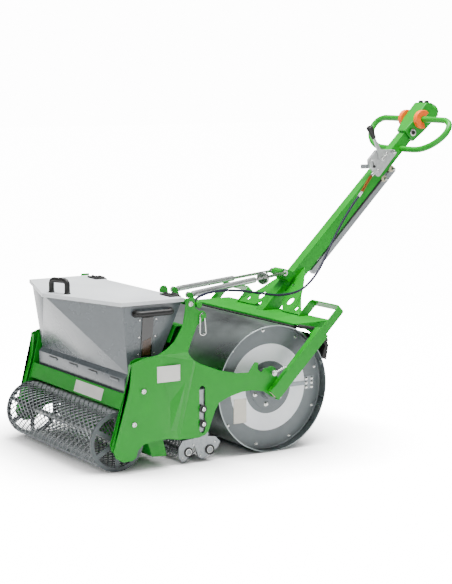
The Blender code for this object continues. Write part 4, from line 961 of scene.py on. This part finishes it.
# The floor glows for camera rays and a little for glossy rays. Ambient occlusion darkens that glow near
# the machine: a painted shadow, seen directly and in the metal's reflections.
seen = add_node(floor_paint, "ShaderNodeLightPath", {})
painted_shadow_occlusion = add_node(
    floor_paint, "ShaderNodeAmbientOcclusion", {"samples": 8, "only_local": False, "Distance": PAINTED_SHADOW_REACH}
)
painted_shadow_falloff = add_node(
    floor_paint, "ShaderNodeMath", {"operation": "POWER", 1: 4.5}, {0: painted_shadow_occlusion.outputs["AO"]}
)
floor_glow_with_painted_shadow = add_node(
    floor_paint, "ShaderNodeMath", {"operation": "MULTIPLY", 1: WHITE_OUT}, {0: painted_shadow_falloff.outputs[0]}
)
mirrored = add_node(
    floor_paint, "ShaderNodeMath", {"operation": "MULTIPLY_ADD", 1: MIRRORED_SHARE},
    {0: seen.outputs["Is Glossy Ray"], 2: seen.outputs["Is Camera Ray"]},
)
floor_glow_seen_with_painted_shadow = add_node(
    floor_paint, "ShaderNodeMath", {"operation": "MULTIPLY"}, {0: floor_glow_with_painted_shadow.outputs[0], 1: mirrored.outputs[0]}
)
floor_shader.inputs["Emission Color"].default_value = (1, 1, 1, 1)
floor_paint.node_tree.links.new(floor_glow_seen_with_painted_shadow.outputs[0], floor_shader.inputs["Emission Strength"])
floor.data.materials.append(floor_paint)


def softbox(location, target, size, power):
    """A square studio light that points at a target."""
    aim = (Vector(target) - Vector(location)).to_track_quat("-Z", "Y").to_euler()
    bpy.ops.object.light_add(type="AREA", location=location, rotation=aim)
    lamp = bpy.context.object
    lamp.data.shape = "SQUARE"
    lamp.data.size = size
    lamp.data.energy = power


softbox((0.3, 0.2, 4.2), (0, 0, 0.3), 2.4, 470)
softbox((4.2, -3.2, 2.6), (0.2, 0, 0.5), 1.4, 60)
softbox((-0.5, -5.0, 2.6), (0, -0.3, 0.4), 1.4, 34)
world = bpy.data.worlds.new("studio") if not bpy.context.scene.world else bpy.context.scene.world
bpy.context.scene.world = world
world.use_nodes = True
background = world.node_tree.nodes["Background"]
heading = add_node(world, "ShaderNodeTexCoord", {})
parts = add_node(world, "ShaderNodeSeparateXYZ", {}, {0: heading.outputs["Generated"]})
room = add_node(world, "ShaderNodeValToRGB", {}, {0: parts.outputs["Z"]})
room.color_ramp.elements[0].position, room.color_ramp.elements[0].color = 0.0, (0.10, 0.10, 0.10, 1)
room.color_ramp.elements[1].position, room.color_ramp.elements[1].color = 0.85, (1, 1, 1, 1)
band = room.color_ramp.elements.new(0.35)
band.color = (0.13, 0.13, 0.13, 1)
ray = add_node(world, "ShaderNodeLightPath", {})
sky = add_node(
    world, "ShaderNodeMix", {"data_type": "RGBA", 7: (WHITE_OUT, WHITE_OUT, WHITE_OUT, 1)},
    {0: ray.outputs["Is Camera Ray"], 6: room.outputs[0]},
)
world.node_tree.links.new(sky.outputs[2], background.inputs["Color"])
background.inputs["Strength"].default_value = 1.0
